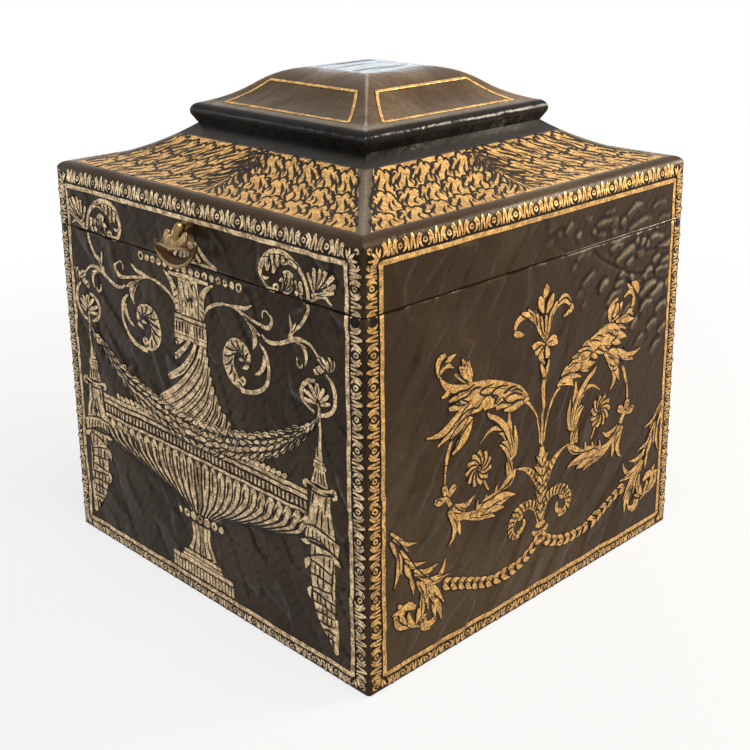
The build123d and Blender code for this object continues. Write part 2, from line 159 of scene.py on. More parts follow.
def dark_lip(f, colour):
    """The cap is lumpy; its rounded lip is painted near black as painted shade and dark
    reflection, with a painted highlight along its upper edge.
    """
    height = f.node('SeparateXYZ', {0: f.coord}, 2)
    f.ripple = f.bump(f.noise(36, 3, 0.5), 0.005, 0.38)
    # Painted highlight, partly wear: pale along the cap's hips.
    colour = along_hips(f, colour, (0.26, 0.21, 0.155), 0.0025, 0.0055)
    # Painted highlight: a pale line along the lip's upper edge.
    edge = f.sums(f.span(height, 0.3289, 0.3299, 0.0, 0.6),
                  f.span(height, 0.3304, 0.3316, 0.0, 0.6), 'SUBTRACT')
    # Painted shade and dark reflection: the rounded lip is painted near black.
    colour = f.blend(f.span(height, 0.3284, 0.3302), (0.010, 0.009, 0.008), colour)
    return f.blend(edge, colour, (0.15, 0.125, 0.095))


def pale_hips_and_shade_under_cap(f, colour):
    """The hollow is pale along its hips, partly rubbed and partly a painted highlight, and painted
    near black under the cap as shade.
    """
    height = f.node('SeparateXYZ', {0: f.coord}, 2)
    # Painted highlight, partly wear: pale along the hollow's hips.
    colour = along_hips(f, colour, (0.155, 0.119, 0.080), 0.0015, 0.0085)
    # Painted shade: near black under the cap's lip.
    return f.blend(f.span(height, 0.3072, 0.3086), colour, (0.014, 0.012, 0.010))


def gilt_finish(name, bright, aged):
    """Worn gold leaf: bright where it is whole, brown where it is rubbed through."""
    f = Finish(name)
    wear = f.span(f.noise(210, 4, 0.7), 0.40, 0.62)
    specks = f.span(f.noise(900, 2, 0.5), 0.53, 0.64)
    colour = f.blend(wear, bright, aged)
    colour = f.blend(f.sums(specks, 0.85, 'MULTIPLY'), colour, (0.06, 0.032, 0.012))
    rough = f.span(f.noise(320, 2), 0.3, 0.7, 0.36, 0.55)
    f.set(Base_Color=colour, Roughness=rough, Metallic=0.55,
          Normal=f.bump(f.noise(650, 3, 0.6), 0.0002, 0.7))
    return f


def brass_finish(name, bright, dull, gloss):
    """Old cast brass, browned in the hollows."""
    f = Finish(name)
    tarnish = f.span(f.noise(110, 4, 0.65), 0.38, 0.66)
    rough = f.span(f.noise(240, 3), 0.3, 0.7, gloss, gloss + 0.2)
    f.set(Base_Color=f.blend(tarnish, bright, dull), Roughness=rough, Metallic=0.9,
          Normal=f.bump(f.noise(500, 3, 0.6), 0.00015, 0.5))
    return f


def cast_finish(name, bright, hollow, gloss):
    """Cast brass, rubbed bright where its wear attribute is high and brown elsewhere."""
    f = Finish(name)
    wear_and_painted_light = f.sums(f.node('Attribute', None, 2, attribute_name="wear_and_painted_light"),
                    f.sums(f.noise(300, 4, 0.7), 0.5, 'SUBTRACT'))
    rough = f.span(f.noise(240, 3), 0.3, 0.7, gloss, gloss + 0.15)
    f.set(Base_Color=f.blend(f.span(wear_and_painted_light, 0.15, 0.85), hollow, bright), Roughness=rough,
          Metallic=0.95, Normal=f.bump(f.noise(420, 3, 0.6), 0.0002, 0.5))
    return f


def wood_finish(name):
    """Planed softwood with long rings."""
    f = Finish(name)
    where = f.node('Mapping', {'Vector': f.coord, 'Scale': (1, 1, 6)})
    rings = f.node('TexWave', {'Vector': where, 'Scale': 14, 'Distortion': 5, 'Detail': 3,
                               'Detail Scale': 1.6}, bands_direction='Z')
    fibre = f.noise(60, 4, 0.7, stretch=(1, 1, 18))
    colour = f.blend(f.sums(rings, fibre, 'MULTIPLY'), (0.46, 0.30, 0.16), (0.28, 0.15, 0.07))
    f.set(Base_Color=colour, Roughness=f.span(fibre, 0.3, 0.7, 0.5, 0.7),
          Normal=f.bump(fibre, 0.0002, 0.4))
    return f


def silk_finish(name):
    """Dark red watered silk: crossing threads under a slow moire."""
    f = Finish(name)
    rib = f.noise(1500, 2, 0.5, stretch=(0.12, 0.12, 1))
    thread = f.noise(1500, 2, 0.5, stretch=(1, 1, 0.12))
    moire = f.node('TexWave', {'Vector': f.coord, 'Scale': 9, 'Distortion': 14, 'Detail': 4,
                               'Detail Scale': 0.8})
    colour = f.blend(f.span(moire, 0.2, 0.8), (0.22, 0.035, 0.03), (0.34, 0.07, 0.055))
    f.set(Base_Color=colour, Roughness=f.span(moire, 0, 1, 0.42, 0.62), Sheen_Weight=0.3,
          Normal=f.bump(f.sums(rib, thread), 0.00015, 0.6))
    return f


def baize_finish(name):
    """Green baize with a short matted nap."""
    f = Finish(name)
    nap = f.noise(2200, 4, 0.7)
    colour = f.blend(nap, (0.018, 0.05, 0.026), (0.045, 0.09, 0.05))
    f.set(Base_Color=colour, Roughness=0.95, Sheen_Weight=0.4, Normal=f.bump(nap, 0.0004, 0.8))
    return f


def steel_finish(name):
    """Grey turned steel."""
    f = Finish(name)
    turned = f.noise(700, 2, 0.5, stretch=(6, 1, 1))
    f.set(Base_Color=f.blend(turned, (0.30, 0.29, 0.28), (0.48, 0.47, 0.45)),
          Roughness=f.span(turned, 0.3, 0.7, 0.28, 0.45), Metallic=1.0,
          Normal=f.bump(turned, 0.00005, 0.4))
    return f


leather = leather_finish("hammered_leather", (0.040, 0.0226, 0.0102), (0.067, 0.0428, 0.0205),
                         0.30, 0.09, cracks=0.10)
# Partly painted light: the cap's leather is paler than the walls', and its pale patches stand in
# for the sheen of the sky on its glossy slopes.
cap_leather = leather_finish("polished_leather", (0.064, 0.038, 0.019), (0.150, 0.100, 0.058),
                             0.14, 0.09, dark_lip)
top_leather = leather_finish("glossy_leather", (0.058, 0.051, 0.045), (0.086, 0.077, 0.068),
                             0.10, 0.25, top_ripples)
cove_leather = leather_finish("rubbed_and_shaded_leather", (0.070, 0.050, 0.032), (0.105, 0.080, 0.054),
                              0.20, 0.14, pale_hips_and_shade_under_cap)
# Painted highlight: pale leather for the lid's lower edge, standing in for the floor it reflects.
painted_edge_highlight = leather_finish("painted_edge_highlight", (0.42, 0.37, 0.30), (0.62, 0.56, 0.47), 0.14, 0.5)
# Near black: painted shade round the gold, and the dark veins in it.
black_for_shade_and_veins = leather_finish("black_shade_and_vein_line", (0.010, 0.006, 0.003), (0.018, 0.011, 0.006), 0.42)
gilt = gilt_finish("deep_gilt", (0.76, 0.45, 0.14), (0.42, 0.22, 0.06))
# Painted light: a paler, cooler copy of the gilt, standing in for the cool light from the left on
# the front and back.
cool_lit_gilt = gilt_finish("cool_lit_gilt", (0.97, 0.73, 0.43), (0.37, 0.24, 0.12))
brass = brass_finish("aged_brass", (0.34, 0.21, 0.085), (0.10, 0.060, 0.028), 0.30)
cast_brass = cast_finish("cast_brass", (0.235, 0.15, 0.062), (0.062, 0.028, 0.010), 0.22)
wood = wood_finish("softwood")
silk = silk_finish("watered_silk")
baize = baize_finish("green_baize")
steel = steel_finish("turned_steel")

# the CAD nodes' finishes, by material slot, and for the lid's leathers by a part of the name
FINISH_OF = {"leather": leather, "brass": brass, "wood": wood, "lining": silk,
             "felt": baize, "steel": steel, "gilt": gilt}
LID_LEATHERS = (("cap_top", top_leather), ("cap", cap_leather), ("cove", cove_leather))
for name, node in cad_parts.items():
    of_lid = [made for part, made in LID_LEATHERS if part in name and "leather" in name]
    for place in node.material_slots:
        finish = of_lid[0] if of_lid else FINISH_OF.get(place.material.name)
        if finish:
            place.material = finish.mat


# ---------------------------------------------------------------- faces of the box
# All in millimetres. The curves of the lid are arcs: (inset from the wall, height), radius, slope.
HALF = 160.0                 # from the middle to the leather's face
SEAM = 242.4                 # middle of the gap between body and lid
RIM_TOP = 281.0              # where the lid's shoulder starts
SHOULDER = 7.0               # radius of that shoulder
HINGE_AT = 90.0              # how far the hinges are from the middle
COVE_FOOT, COVE_R, COVE_START = (7.0, 288.0), 131.43, radians(6)
CAP_FOOT, CAP_HOLLOW_R, CAP_SLOPE = (74.66, 329.35), 72.0, radians(12.9)
CAP_BREAK, CAP_ROUND_R, CAP_BREAK_SLOPE = (103.6, 343.4), 48.0, radians(38.7)
LOWEST, HIGHEST = 0.02, 2.4  # limits of the hide's relief
TUCK = 0.12                  # how far the hide's edges sink into the leather below
SIDES = ("front", "right", "back", "left")
rng = np.random.default_rng(7)


def smooth(value, low, high):
    t = np.clip((value - low) / (high - low), 0, 1)
    return t * t * (3 - 2 * t)


class Facets:
    """Soft hammered facets: a jittered net of small tilted planes, melted into each other."""

    NET = 64                     # cells of the net each way, before it repeats
    START = 20                   # the cell that the middle of the wall's foot lies in

    def __init__(self, wide, tall, tilt, melt):
        self.pitch = np.array([wide, tall])
        self.melt = melt
        self.jitter = rng.uniform(0.1, 0.9, (self.NET, self.NET, 2))
        self.slope = rng.normal(0, tilt, (self.NET, self.NET, 2))
        self.level = rng.normal(0, 1, (self.NET, self.NET))

    def __call__(self, u, v, lean):
        """Height at each place, and how far it is from the nearest edge between two planes."""
        at = np.stack([(u + lean * v) / self.pitch[0], v / self.pitch[1]]) + self.START
        cell = np.floor(at).astype(int)
        total, weight = 0.0, 1e-9
        near, next_near = np.full(u.shape, 9.0), np.full(u.shape, 9.0)
        for du in (-1, 0, 1):
            for dv in (-1, 0, 1):
                i, j = (cell[0] + du) % self.NET, (cell[1] + dv) % self.NET
                off = [at[0] - cell[0] - du - self.jitter[i, j, 0],
                       at[1] - cell[1] - dv - self.jitter[i, j, 1]]
                far = off[0] ** 2 + off[1] ** 2
                w = np.exp(-self.melt * far)
                total += w * (self.slope[i, j, 0] * off[0] + self.slope[i, j, 1] * off[1]
                              + 0.25 * self.level[i, j] * abs(self.slope[0, 0, 0]))
                weight += w
                next_near = np.minimum(next_near, np.maximum(near, far))
                near = np.minimum(near, far)
        return total / weight, np.sqrt(next_near) - np.sqrt(near)


broad = [Facets(20, 30, 0.85, 13) for _ in SIDES]
small = [Facets(9, 18, 0.50, 9) for _ in SIDES]

FOLDS_FROM = 2864            # height that folds are measured down from, in tenths of a mm
FOLD_REACH = 90              # how far from its line a fold is still worked out
FOLD_TAPER = 0.42            # how soon a fold rises from its ends
# Crest lines of the folds that wrinkle the right wall's upper corner, each with its height.
# Places are in tenths of a millimetre: right of the middle, and down from FOLDS_FROM.
FOLDS = (
    (0.8, (710, 510), (740, 490), (800, 480), (870, 490)),
    (1.2, (780, 595), (880, 560), (950, 535), (1005, 522)),
    (0.8, (1000, 515), (1030, 490), (1055, 482)),
    (1.1, (1070, 560), (1085, 520), (1110, 508), (1140, 520)),
    (0.9, (1140, 570), (1155, 540), (1180, 528)), (0.9, (900, 655), (930, 625), (990, 608)),
    (0.8, (1030, 605), (1070, 585), (1130, 590)),
    (0.9, (1180, 520), (1230, 502), (1290, 510), (1370, 528)),
    (0.8, (1280, 602), (1400, 590), (1475, 572)), (0.9, (1225, 700), (1260, 670), (1335, 653)),
    (1.0, (1320, 735), (1370, 710), (1475, 692)), (1.2, (1115, 790), (1170, 745), (1240, 733)),
    (1.1, (1265, 785), (1310, 758), (1370, 750), (1465, 762)),
    (1.3, (1080, 920), (1160, 870), (1230, 843), (1300, 850)),
    (1.3, (1180, 955), (1270, 920), (1330, 893), (1390, 890)),
    (1.2, (1105, 1050), (1135, 990), (1200, 968), (1260, 985)), (0.8, (955, 755), (1000, 733)),
    (1.0, (780, 810), (800, 772), (840, 755), (890, 765)),
    (1.1, (600, 785), (625, 735), (660, 718), (710, 716)),
    (0.7, (825, 735), (860, 700), (900, 688)),
    (1.0, (690, 895), (740, 840), (790, 818), (870, 815)),
    (0.7, (400, 705), (450, 660), (550, 615)), (0.5, (320, 770), (410, 715)),
    (0.5, (400, 840), (460, 812)), (0.5, (330, 490), (380, 480), (500, 484)),
    (0.4, (280, 570), (335, 515)), (0.9, (1390, 905), (1455, 865)),
    (0.9, (1290, 1080), (1350, 1040), (1450, 1030)),
    (0.8, (990, 1150), (1030, 1090), (1080, 1075)),
    (0.8, (1190, 1190), (1250, 1150), (1330, 1140)),
    (0.6, (1050, 1300), (1110, 1230), (1170, 1215)),
    (0.8, (1340, 1260), (1400, 1215), (1460, 1210)), (0.5, (880, 1010), (940, 960), (1000, 950)),
    (0.6, (1250, 1400), (1310, 1330), (1400, 1310)), (0.4, (620, 1010), (680, 950), (740, 940)),
    (0.9, (195, 300), (230, 255), (285, 226)), (0.8, (320, 350), (345, 325), (385, 318)),
    (0.8, (540, 302), (610, 290), (700, 288), (800, 298)), (0.6, (500, 350), (535, 318)),
    (0.7, (695, 350), (740, 315), (800, 308)), (0.6, (715, 395), (765, 352)),
    (0.7, (815, 350), (850, 320), (890, 318)),
    (0.8, (885, 305), (940, 265), (1000, 238), (1090, 242)),
    (0.7, (920, 398), (1000, 380), (1100, 355), (1190, 364)),
    (0.5, (555, 378), (600, 365), (660, 388)), (0.6, (10, 360), (40, 322), (90, 330)),
    (0.5, (1200, 300), (1280, 270), (1380, 275)), (0.5, (1280, 400), (1340, 380), (1440, 385)),
    (0.5, (120, 300), (160, 260)), (0.4, (420, 240), (500, 230)), (0.4, (640, 240), (760, 225)))
# Long creases that cross them, drawn the same way, each with its depth.
CREASES = (
    (0.6, (500, 440), (560, 500), (700, 590), (820, 650), (900, 692), (1000, 728), (1200, 768),
     (1460, 800)), (0.5, (860, 700), (1000, 820), (1180, 832), (1370, 838)),
    (0.4, (0, 300), (200, 400), (300, 440)), (0.5, (1000, 600), (1200, 590), (1460, 640)))


def bumped(u, v, lines, lit, back):
    """Soft ridges along lines: lit tenths of a millimetre wide on their left, and back tenths on
    their right."""
    place = u * 10 + 1j * (FOLDS_FROM - v * 10)
    total = np.zeros(u.shape)
    for tall, *crest in lines:
        line = Path(crest).line[::4]
        close = np.ones(u.shape, bool)
        for here, there in ((place.real, line.real), (place.imag, line.imag)):
            close &= abs(here - (there.max() + there.min()) / 2) < np.ptp(there) / 2 + FOLD_REACH
        here = place[close]
        best, along, wide = (np.full(here.shape, k) for k in (1e9, 0.0, 1.0))
        for k, (a, b) in enumerate(zip(line, line[1:])):
            t = np.clip(((here - a) * np.conj(b - a)).real / abs(b - a) ** 2, 0, 1)
            off = here - a - t * (b - a)
            nearer = abs(off) < best
            best = np.where(nearer, abs(off), best)
            along = np.where(nearer, (k + t) / (len(line) - 1), along)
            wide = np.where(nearer, np.where((off * np.conj(b - a)).imag < 0, lit, back), wide)
        ridge = tall * np.exp(-(best / wide) ** 2) * np.sin(pi * along) ** FOLD_TAPER
        total[close] = np.maximum(total[close], ridge)
    return total


def towards_corner(u, v, near, far):
    """Rises towards the upper corner that a wall has on the right."""
    return smooth(u + 0.5 * (v - 205), near, far)


def hammered(u, v, side):
    """Height of the hammered hide, before its edges are tucked in, in mm."""
    lean = -0.75 if side in (1, 3) else 0.45
    slow, gap = broad[side](u, v, lean)
    fast, edge = small[side](u, v, -0.85)
    crinkled = (smooth(0.6 * (u - 22) + 0.9 * (v - 205), 0, 58) if side == 3
                else 0.06 if side == 1 else 0.12)
    creased = towards_corner(u, v, 0, 70) if side == 1 else 0.0
    height = 0.62 + (slow - 0.20 * (1 - smooth(gap, 0.0, 0.14))) * (1 - 0.8 * creased)
    inside = smooth(147 - abs(u), 0, 5) * smooth(274 - v, 0, 7)
    height = height + inside * crinkled * (fast + 1.7 * smooth(edge, 0.0, 0.5) - 0.75)
    if side == 1:
        height = height + inside * (1.25 * bumped(u, v, FOLDS, 15, 46)
                                    - bumped(u, v, CREASES, 8, 12))
    return height


def relief(u, v, side):
    """Height of the hide over the flat board, in mm."""
    rim = (smooth(HALF - 2.0 - abs(u), 0, 4) * smooth(v, 1.0, 4.5)
           * smooth(RIM_TOP - v, 0.3, 4.0) * smooth(abs(v - SEAM), 0.4, 1.1))
    if side == 2:                                   # pressed flat where the hinges fold
        rim = rim * (1 - 0.8 * (1 - smooth(abs(abs(u) - HINGE_AT), 20, 27))
                     * (1 - smooth(abs(v - SEAM), 8, 16)))
    return np.clip(hammered(u, v, side), LOWEST, HIGHEST) * rim - TUCK * (1 - rim)


def turned(x, y, z, side):
    """Turns points of the front to another side of the box, and millimetres to metres."""
    for _ in range(side):
        x, y = -y, x
    return np.stack([x, y, z], 1) * MM


def on_wall(u, v, h, side):
    """A place on a wall: u along it, v up it, h out of it. The top follows the lid's shoulder."""
    bend = np.clip((v - RIM_TOP) / SHOULDER, 0, pi / 2)
    out = h + np.maximum(relief(u, np.minimum(v, RIM_TOP), side), 0)
    y = HALF - SHOULDER + (SHOULDER + out) * np.cos(bend)
    z = np.where(v < RIM_TOP, v, RIM_TOP + (SHOULDER + out) * np.sin(bend))
    return turned(u, -y, z, side)


def on_cove(u, v, h, side):
    """v runs up the hollow of the lid from the shoulder to the crease."""
    slope = COVE_START + v / COVE_R
    inset = COVE_FOOT[0] + COVE_R * (np.sin(slope) - sin(COVE_START)) - h * np.sin(slope)
    z = COVE_FOOT[1] + COVE_R * (cos(COVE_START) - np.cos(slope)) + h * np.cos(slope)
    return turned(u, inset - HALF, z, side)


def on_cap(u, v, h, side):
    """v runs up the cap's ogee from its rounded lip."""
    hollow = CAP_HOLLOW_R * (CAP_BREAK_SLOPE - CAP_SLOPE)
    slope = np.where(v < hollow, CAP_SLOPE + v / CAP_HOLLOW_R,
                     CAP_BREAK_SLOPE - (v - hollow) / CAP_ROUND_R)
    inset = np.where(v < hollow,
                     CAP_FOOT[0] + CAP_HOLLOW_R * (np.sin(slope) - sin(CAP_SLOPE)),
                     CAP_BREAK[0] + CAP_ROUND_R * (sin(CAP_BREAK_SLOPE) - np.sin(slope)))
    z = np.where(v < hollow,
                 CAP_FOOT[1] + CAP_HOLLOW_R * (cos(CAP_SLOPE) - np.cos(slope)),
                 CAP_BREAK[1] + CAP_ROUND_R * (np.cos(slope) - cos(CAP_BREAK_SLOPE)))
    return turned(u, inset - h * np.sin(slope) - HALF, z + h * np.cos(slope), side)


# ---------------------------------------------------------------- tooling
def points_of(piece):
    co = np.empty(len(piece.data.vertices) * 3, np.float32)
    piece.data.vertices.foreach_get("co", co)
    return co.reshape(-1, 3).astype(float)


def set_points(piece, places):
    piece.data.vertices.foreach_set("co", places.astype(np.float32).ravel())
    piece.data.update()


def new_curve(name, dimensions):
    """A curve without a line yet."""
    bpy.ops.object.select_all(action='DESELECT')
    bpy.ops.curve.primitive_bezier_curve_add()
    piece = bpy.context.object
    piece.name = name
    piece.data.dimensions = dimensions
    piece.data.splines.clear()
    return piece


def new_grid(wide, tall):
    """A flat grid of wide x tall cells, from -1 to 1."""
    bpy.ops.object.select_all(action='DESELECT')
    bpy.ops.mesh.primitive_grid_add(x_subdivisions=wide, y_subdivisions=tall, size=2)
    return bpy.context.object


def smooth_line(curve, places, radii):
    """Adds a smooth line through places to a curve."""
    line = curve.splines.new('BEZIER')
    line.bezier_points.add(len(places) - 1)
    for point, place, radius in zip(line.bezier_points, places, radii):
        point.co, point.radius = place, radius
        point.handle_left_type = point.handle_right_type = 'AUTO'
    return line


def modified(piece, kind, **settings):
    """Works one modifier into the mesh of the active piece."""
    made = piece.modifiers.new(kind, kind)
    for key, value in settings.items():
        setattr(made, key, value)
    bpy.ops.object.modifier_apply(modifier=made.name)


def joined(pieces):
    bpy.ops.object.select_all(action='DESELECT')
    for piece in pieces:
        piece.select_set(True)
    bpy.context.view_layer.objects.active = pieces[0]
    if len(pieces) > 1:
        bpy.ops.object.join()
    return pieces[0]


def section(name, count, crown):
    """A closed outline that a tool mark is swept with: flat foot, crowned top."""
    shape = new_curve(name, '2D')
    line = shape.data.splines.new('POLY')
    line.points.add(count + 1)
    line.points[0].co, line.points[1].co = (-1, -0.5, 0, 1), (1, -0.5, 0, 1)
    for point, x in zip(line.points[2:], np.linspace(0.93, -0.93, count)):
        point.co = (x, 0.3 + crown * (1 - x * x), 0, 1)
    line.use_cyclic_u = True
    return shape


# sections for narrow, broad and very broad strokes
CROWNED = [section("crowned_section", n, 0.3) for n in (3, 7, 17)]
FLAT = [section("flat_section", n, 0.0) for n in (4, 8, 18)]
BROADER = (2.0, 5.0)         # half widths from which a stroke takes the next section
LAPS = 3                     # levels that strokes lap over each other on
LIFT = 0.18                  # how far a lapping stroke stands over the one it laps
SUNK = 0.3                   # how deep a stroke's foot reaches into what it lies on
STEP = 2.6                   # longest straight run of a curve, in mm
SEAM_CUT = 0.45              # how far from the seam the tooling is cut off
SHARP = radians(50)          # edges that are sharper than this stay sharp


# A layer of tooling: its sections, how much wider than drawn it is, how high its crown rises,
# the height that it starts at, and its material slot.
Layer = namedtuple("Layer", "sections grow rise start slot")
# Painted shade: the underlay is a near-black sheet, a little wider than the gold, that paints the
# shade of the groove round it.
SHADE_UNDERLAY = Layer(FLAT, 0.55, 0.06, 0.06, "leather")
GILDING = Layer(CROWNED, 0.0, 0.14, 0.09, "gilt")
VEINS = Layer(FLAT, 0.0, 0.06, 0.56, "leather")
SCALES = Layer(FLAT, 0.0, 0.14, 0.0, "leather")
EDGE_HIGHLIGHT = Layer(CROWNED, 0.0, 0.12, 0.05, "leather")


def swept(name, strokes, profile, grow):
    """Sweeps strokes with a section, on the flat, into one mesh."""
    curve = new_curve(name, '2D').data
    curve.bevel_mode = 'OBJECT'
    curve.bevel_object = profile
    curve.use_fill_caps = True
    for marks, closed, fine in strokes:
        ends = [m[0] for m in marks]
        if grow and not closed:
            ends[0] += (ends[0] - ends[1]) / abs(ends[0] - ends[1]) * grow
            ends[-1] += (ends[-1] - ends[-2]) / abs(ends[-1] - ends[-2]) * grow
        line = smooth_line(curve, [(place.real, place.imag, 0) for place in ends],
                           [half + grow for _, half in marks])
        line.use_cyclic_u = closed
        longest = max(abs(a[0] - b[0]) for a, b in zip(marks, marks[1:]))
        line.resolution_u = max(fine, int(longest / STEP))
        line.radius_interpolation = 'CARDINAL'
    bpy.ops.object.convert(target='MESH')
    return bpy.context.object


def tooled(name, strokes, layer, wrap, side, finish, body):
    """Sweeps every stroke of a sheet, lays the result on the box and gives it its finish."""
    made = []
    for level in range(LAPS):
        for width, profile in enumerate(layer.sections):
            part = [m[:3] for m in strokes if m[3] == level
                    and np.searchsorted(BROADER, max(w for _, w in m[0])) == width]
            if not part:
                continue
            piece = swept(name, part, profile, layer.grow)
            u, v, h = points_of(piece).T
            top = layer.start + LIFT * level + layer.rise * (1 - np.exp(-h / layer.rise))
            set_points(piece, wrap(u, v, np.where(h > 0, top, np.maximum(h, -SUNK)), side))
            made.append(piece)
    piece = joined(made)
    piece.name = name
    piece.data.materials.clear()
    piece.data.materials.append(finish.mat)
    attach(piece, body)
    return piece


VEIN = 1.3                   # all plain veins are drawn this much bolder than written
PER_MM = 5                   # units of a drawing in a millimetre


def place_of(point):
    return complex(*point) if isinstance(point, tuple) else point


class Sheet:
    """A drawing of the tooling on one panel, in fifths of a millimetre, x right and y down.
    Gilt strokes and the dark veins over them are kept in millimetres, as (place, half width)."""

    def __init__(self, middle=800, foot=1432):
        self.middle, self.foot = middle, foot
        self.strokes, self.veins = [], []
        self.lap = 1

    def marks(self, points, halves):
        return [(complex((p.real - self.middle) / PER_MM, (self.foot - p.imag) / PER_MM),
                 w / PER_MM) for p, w in zip(map(place_of, points), halves)]

    def stroke(self, points, half, closed=False, fine=3, level=0):
        """A gilt stroke. One of a higher level laps over the others, with its dark edge."""
        halves = half if isinstance(half, (list, tuple)) else [half] * len(points)
        self.strokes.append((self.marks(points, halves), closed, fine, level))

    def lapped(self, rows, skip=0):
        """Strokes from rows of points and half widths, each on another level than the last.
        With skip, every third one takes one level more."""
        for k, (points, halves) in enumerate(rows):
            self.stroke(points, halves, level=(k + skip * (k // LAPS)) % LAPS)

    def vein(self, points, half=2.6, fine=3):
        """A dark line. With a single half width, it thins at its ends."""
        if not isinstance(half, (list, tuple)):
            half = [half * VEIN * (0.5 if i in (0, len(points) - 1) else 1)
                    for i in range(len(points))]
        self.veins.append((self.marks(points, half), False, fine, 0))

    def cuts(self, rows, half=2.6):
        """Plain veins from rows of points."""
        for points in rows:
            self.vein(points, half)

    def leaf(self, root, tip, fat, bow=0.0, belly=0.45, ends=(0.35, 0.08), fine=3, rib=0):
        """A leaf from its root to its tip, bowed to one side, with a dark rib if asked."""
        root, tip = place_of(root), place_of(tip)
        along = tip - root
        mid = root + along * belly + along * 1j * bow
        self.lap = LAPS - self.lap       # leaves lie on levels 1 and 2 by turns
        self.stroke([root, mid, tip], [fat * ends[0], fat, fat * ends[1]], fine=fine,
                    level=self.lap)
        if rib:
            self.vein([root + along * 0.1, mid, root + along * 0.86], rib)

    def bead(self, x, y, r, fine=2, eye=0):
        self.stroke([(x - 0.86 * r, y), (x, y), (x + 0.86 * r, y)], [0.45 * r, r, 0.45 * r],
                    fine=fine)
        if eye:
            self.vein([(x - eye, y), (x, y), (x + eye, y)], [0.6 * eye, eye, 0.6 * eye], fine=1)

    def ring(self, x, y, r, half):
        self.stroke([complex(x, y) + r * complex(cos(a), sin(a))
                     for a in np.arange(6) * pi / 3], half, closed=True)

    def mirror(self, middle, since):
        """Repeats what was drawn since two counts on the other side of a middle line."""
        centre = (middle - self.middle) / PER_MM
        for kept, first in ((self.strokes, since[0]), (self.veins, since[1])):
            for marks, *rest in kept[first:]:
                kept.append(([(complex(2 * centre - p.real, p.imag), w) for p, w in marks],
                             *rest))

    def count(self):
        return len(self.strokes), len(self.veins)


class Path:
    """A smooth line through points, walked by its length."""

    def __init__(self, points):
        p = np.array([place_of(q) for q in points])
        p = np.concatenate([[2 * p[0] - p[1]], p, [2 * p[-1] - p[-2]]])
        t = np.linspace(0, 1, 12, endpoint=False)
        runs = []
        for a, b, c, d in zip(p, p[1:], p[2:], p[3:]):
            runs.append(0.5 * (2 * b + (c - a) * t + (2 * a - 5 * b + 4 * c - d) * t ** 2
                               + (3 * b - a - 3 * c + d) * t ** 3))
        self.line = np.concatenate([*runs, [p[-2]]])
        step = np.abs(np.diff(self.line))
        self.far = np.concatenate([[0], np.cumsum(step)]) / step.sum()
        self.length = step.sum()

    def at(self, t):
        return complex(np.interp(t, self.far, self.line.real),
                       np.interp(t, self.far, self.line.imag))

    def along(self, t):
        step = self.at(min(t + 0.02, 1)) - self.at(max(t - 0.02, 0))
        return step / abs(step)


def taken(values, t):
    """Reads a list of values that are spread evenly from 0 to 1."""
    return float(np.interp(t, np.linspace(0, 1, len(values)), values))


def band(sheet, path, half, start=0.0, stop=1.0):
    """A solid gilt band of changing width along a path."""
    steps = max(int(path.length * (stop - start) / 38), 3)
    sheet.stroke([path.at(t) for t in np.linspace(start, stop, steps + 1)],
                 [taken(half, t) for t in np.linspace(0, 1, steps + 1)])


def combed(sheet, path, half, count, lean, start, stop, fat):
    """A band with count dark curved lines across it, which part it into leaning lobes."""
    band(sheet, path, half)
    for i in range(count):
        s = (i + 0.5) / count
        t = start + (stop - start) * s
        wide, forward = taken(half, s), path.along(t)
        outer = path.at(t) - forward * 1j * wide * 0.75
        inner = path.at(t) + forward * (1.05j + lean) * wide
        sheet.vein([outer, (outer + inner) / 2 - forward * wide * 0.28 * lean, inner], fat)


def foliage(sheet, path, wide, rows, pitch, splay, start, stop, wild, lines):
    """A solid band broken into overlapping leaf scales, each with its tip forward."""
    band(sheet, path, [0.86 * w for w in wide], start, stop)
    count = int(path.length * (stop - start) / pitch)
    for i in range(count):
        for j in range(rows):
            across = (j - (rows - 1) / 2) / max((rows - 1) / 2, 1)
            s = (i + 0.5 * (j % 2)) / count
            forward = path.along(start + (stop - start) * s)
            broad_here = taken(wide, s)
            root = path.at(start + (stop - start) * s) + forward * 1j * across * broad_here * 0.74
            size = pitch * 1.5 * (0.6 + 0.4 * broad_here / max(wide))
            gap = 0.92 * broad_here / max(rows - 1, 1)
            aim = forward * np.exp(1j * (splay * across + rng.normal(0, wild)))
            tip = root + aim * size
            sheet.leaf(root, tip, gap, bow=0.12 * across, belly=0.5, ends=(0.5, 0.15), fine=2)
            for line in lines:
                way = line * (1 if across >= 0 else -1)
                edge = aim * 1j * way * gap
                sheet.vein([root + edge * 0.3, root + aim * 0.5 * size + edge * 0.95,
                            tip + edge * 0.05], 2.1, fine=2)


# ---------------------------------------------------------------- the border of every wall
FILLET_X, FILLET_TOP, FILLET_FOOT, FILLET_HALF = 66, 71, 1380, 8.0
BEADS = 12                   # how far the foot of the bead band is from the fillet
LOW = 0.66                   # height of the lower band, beside that of the upper one


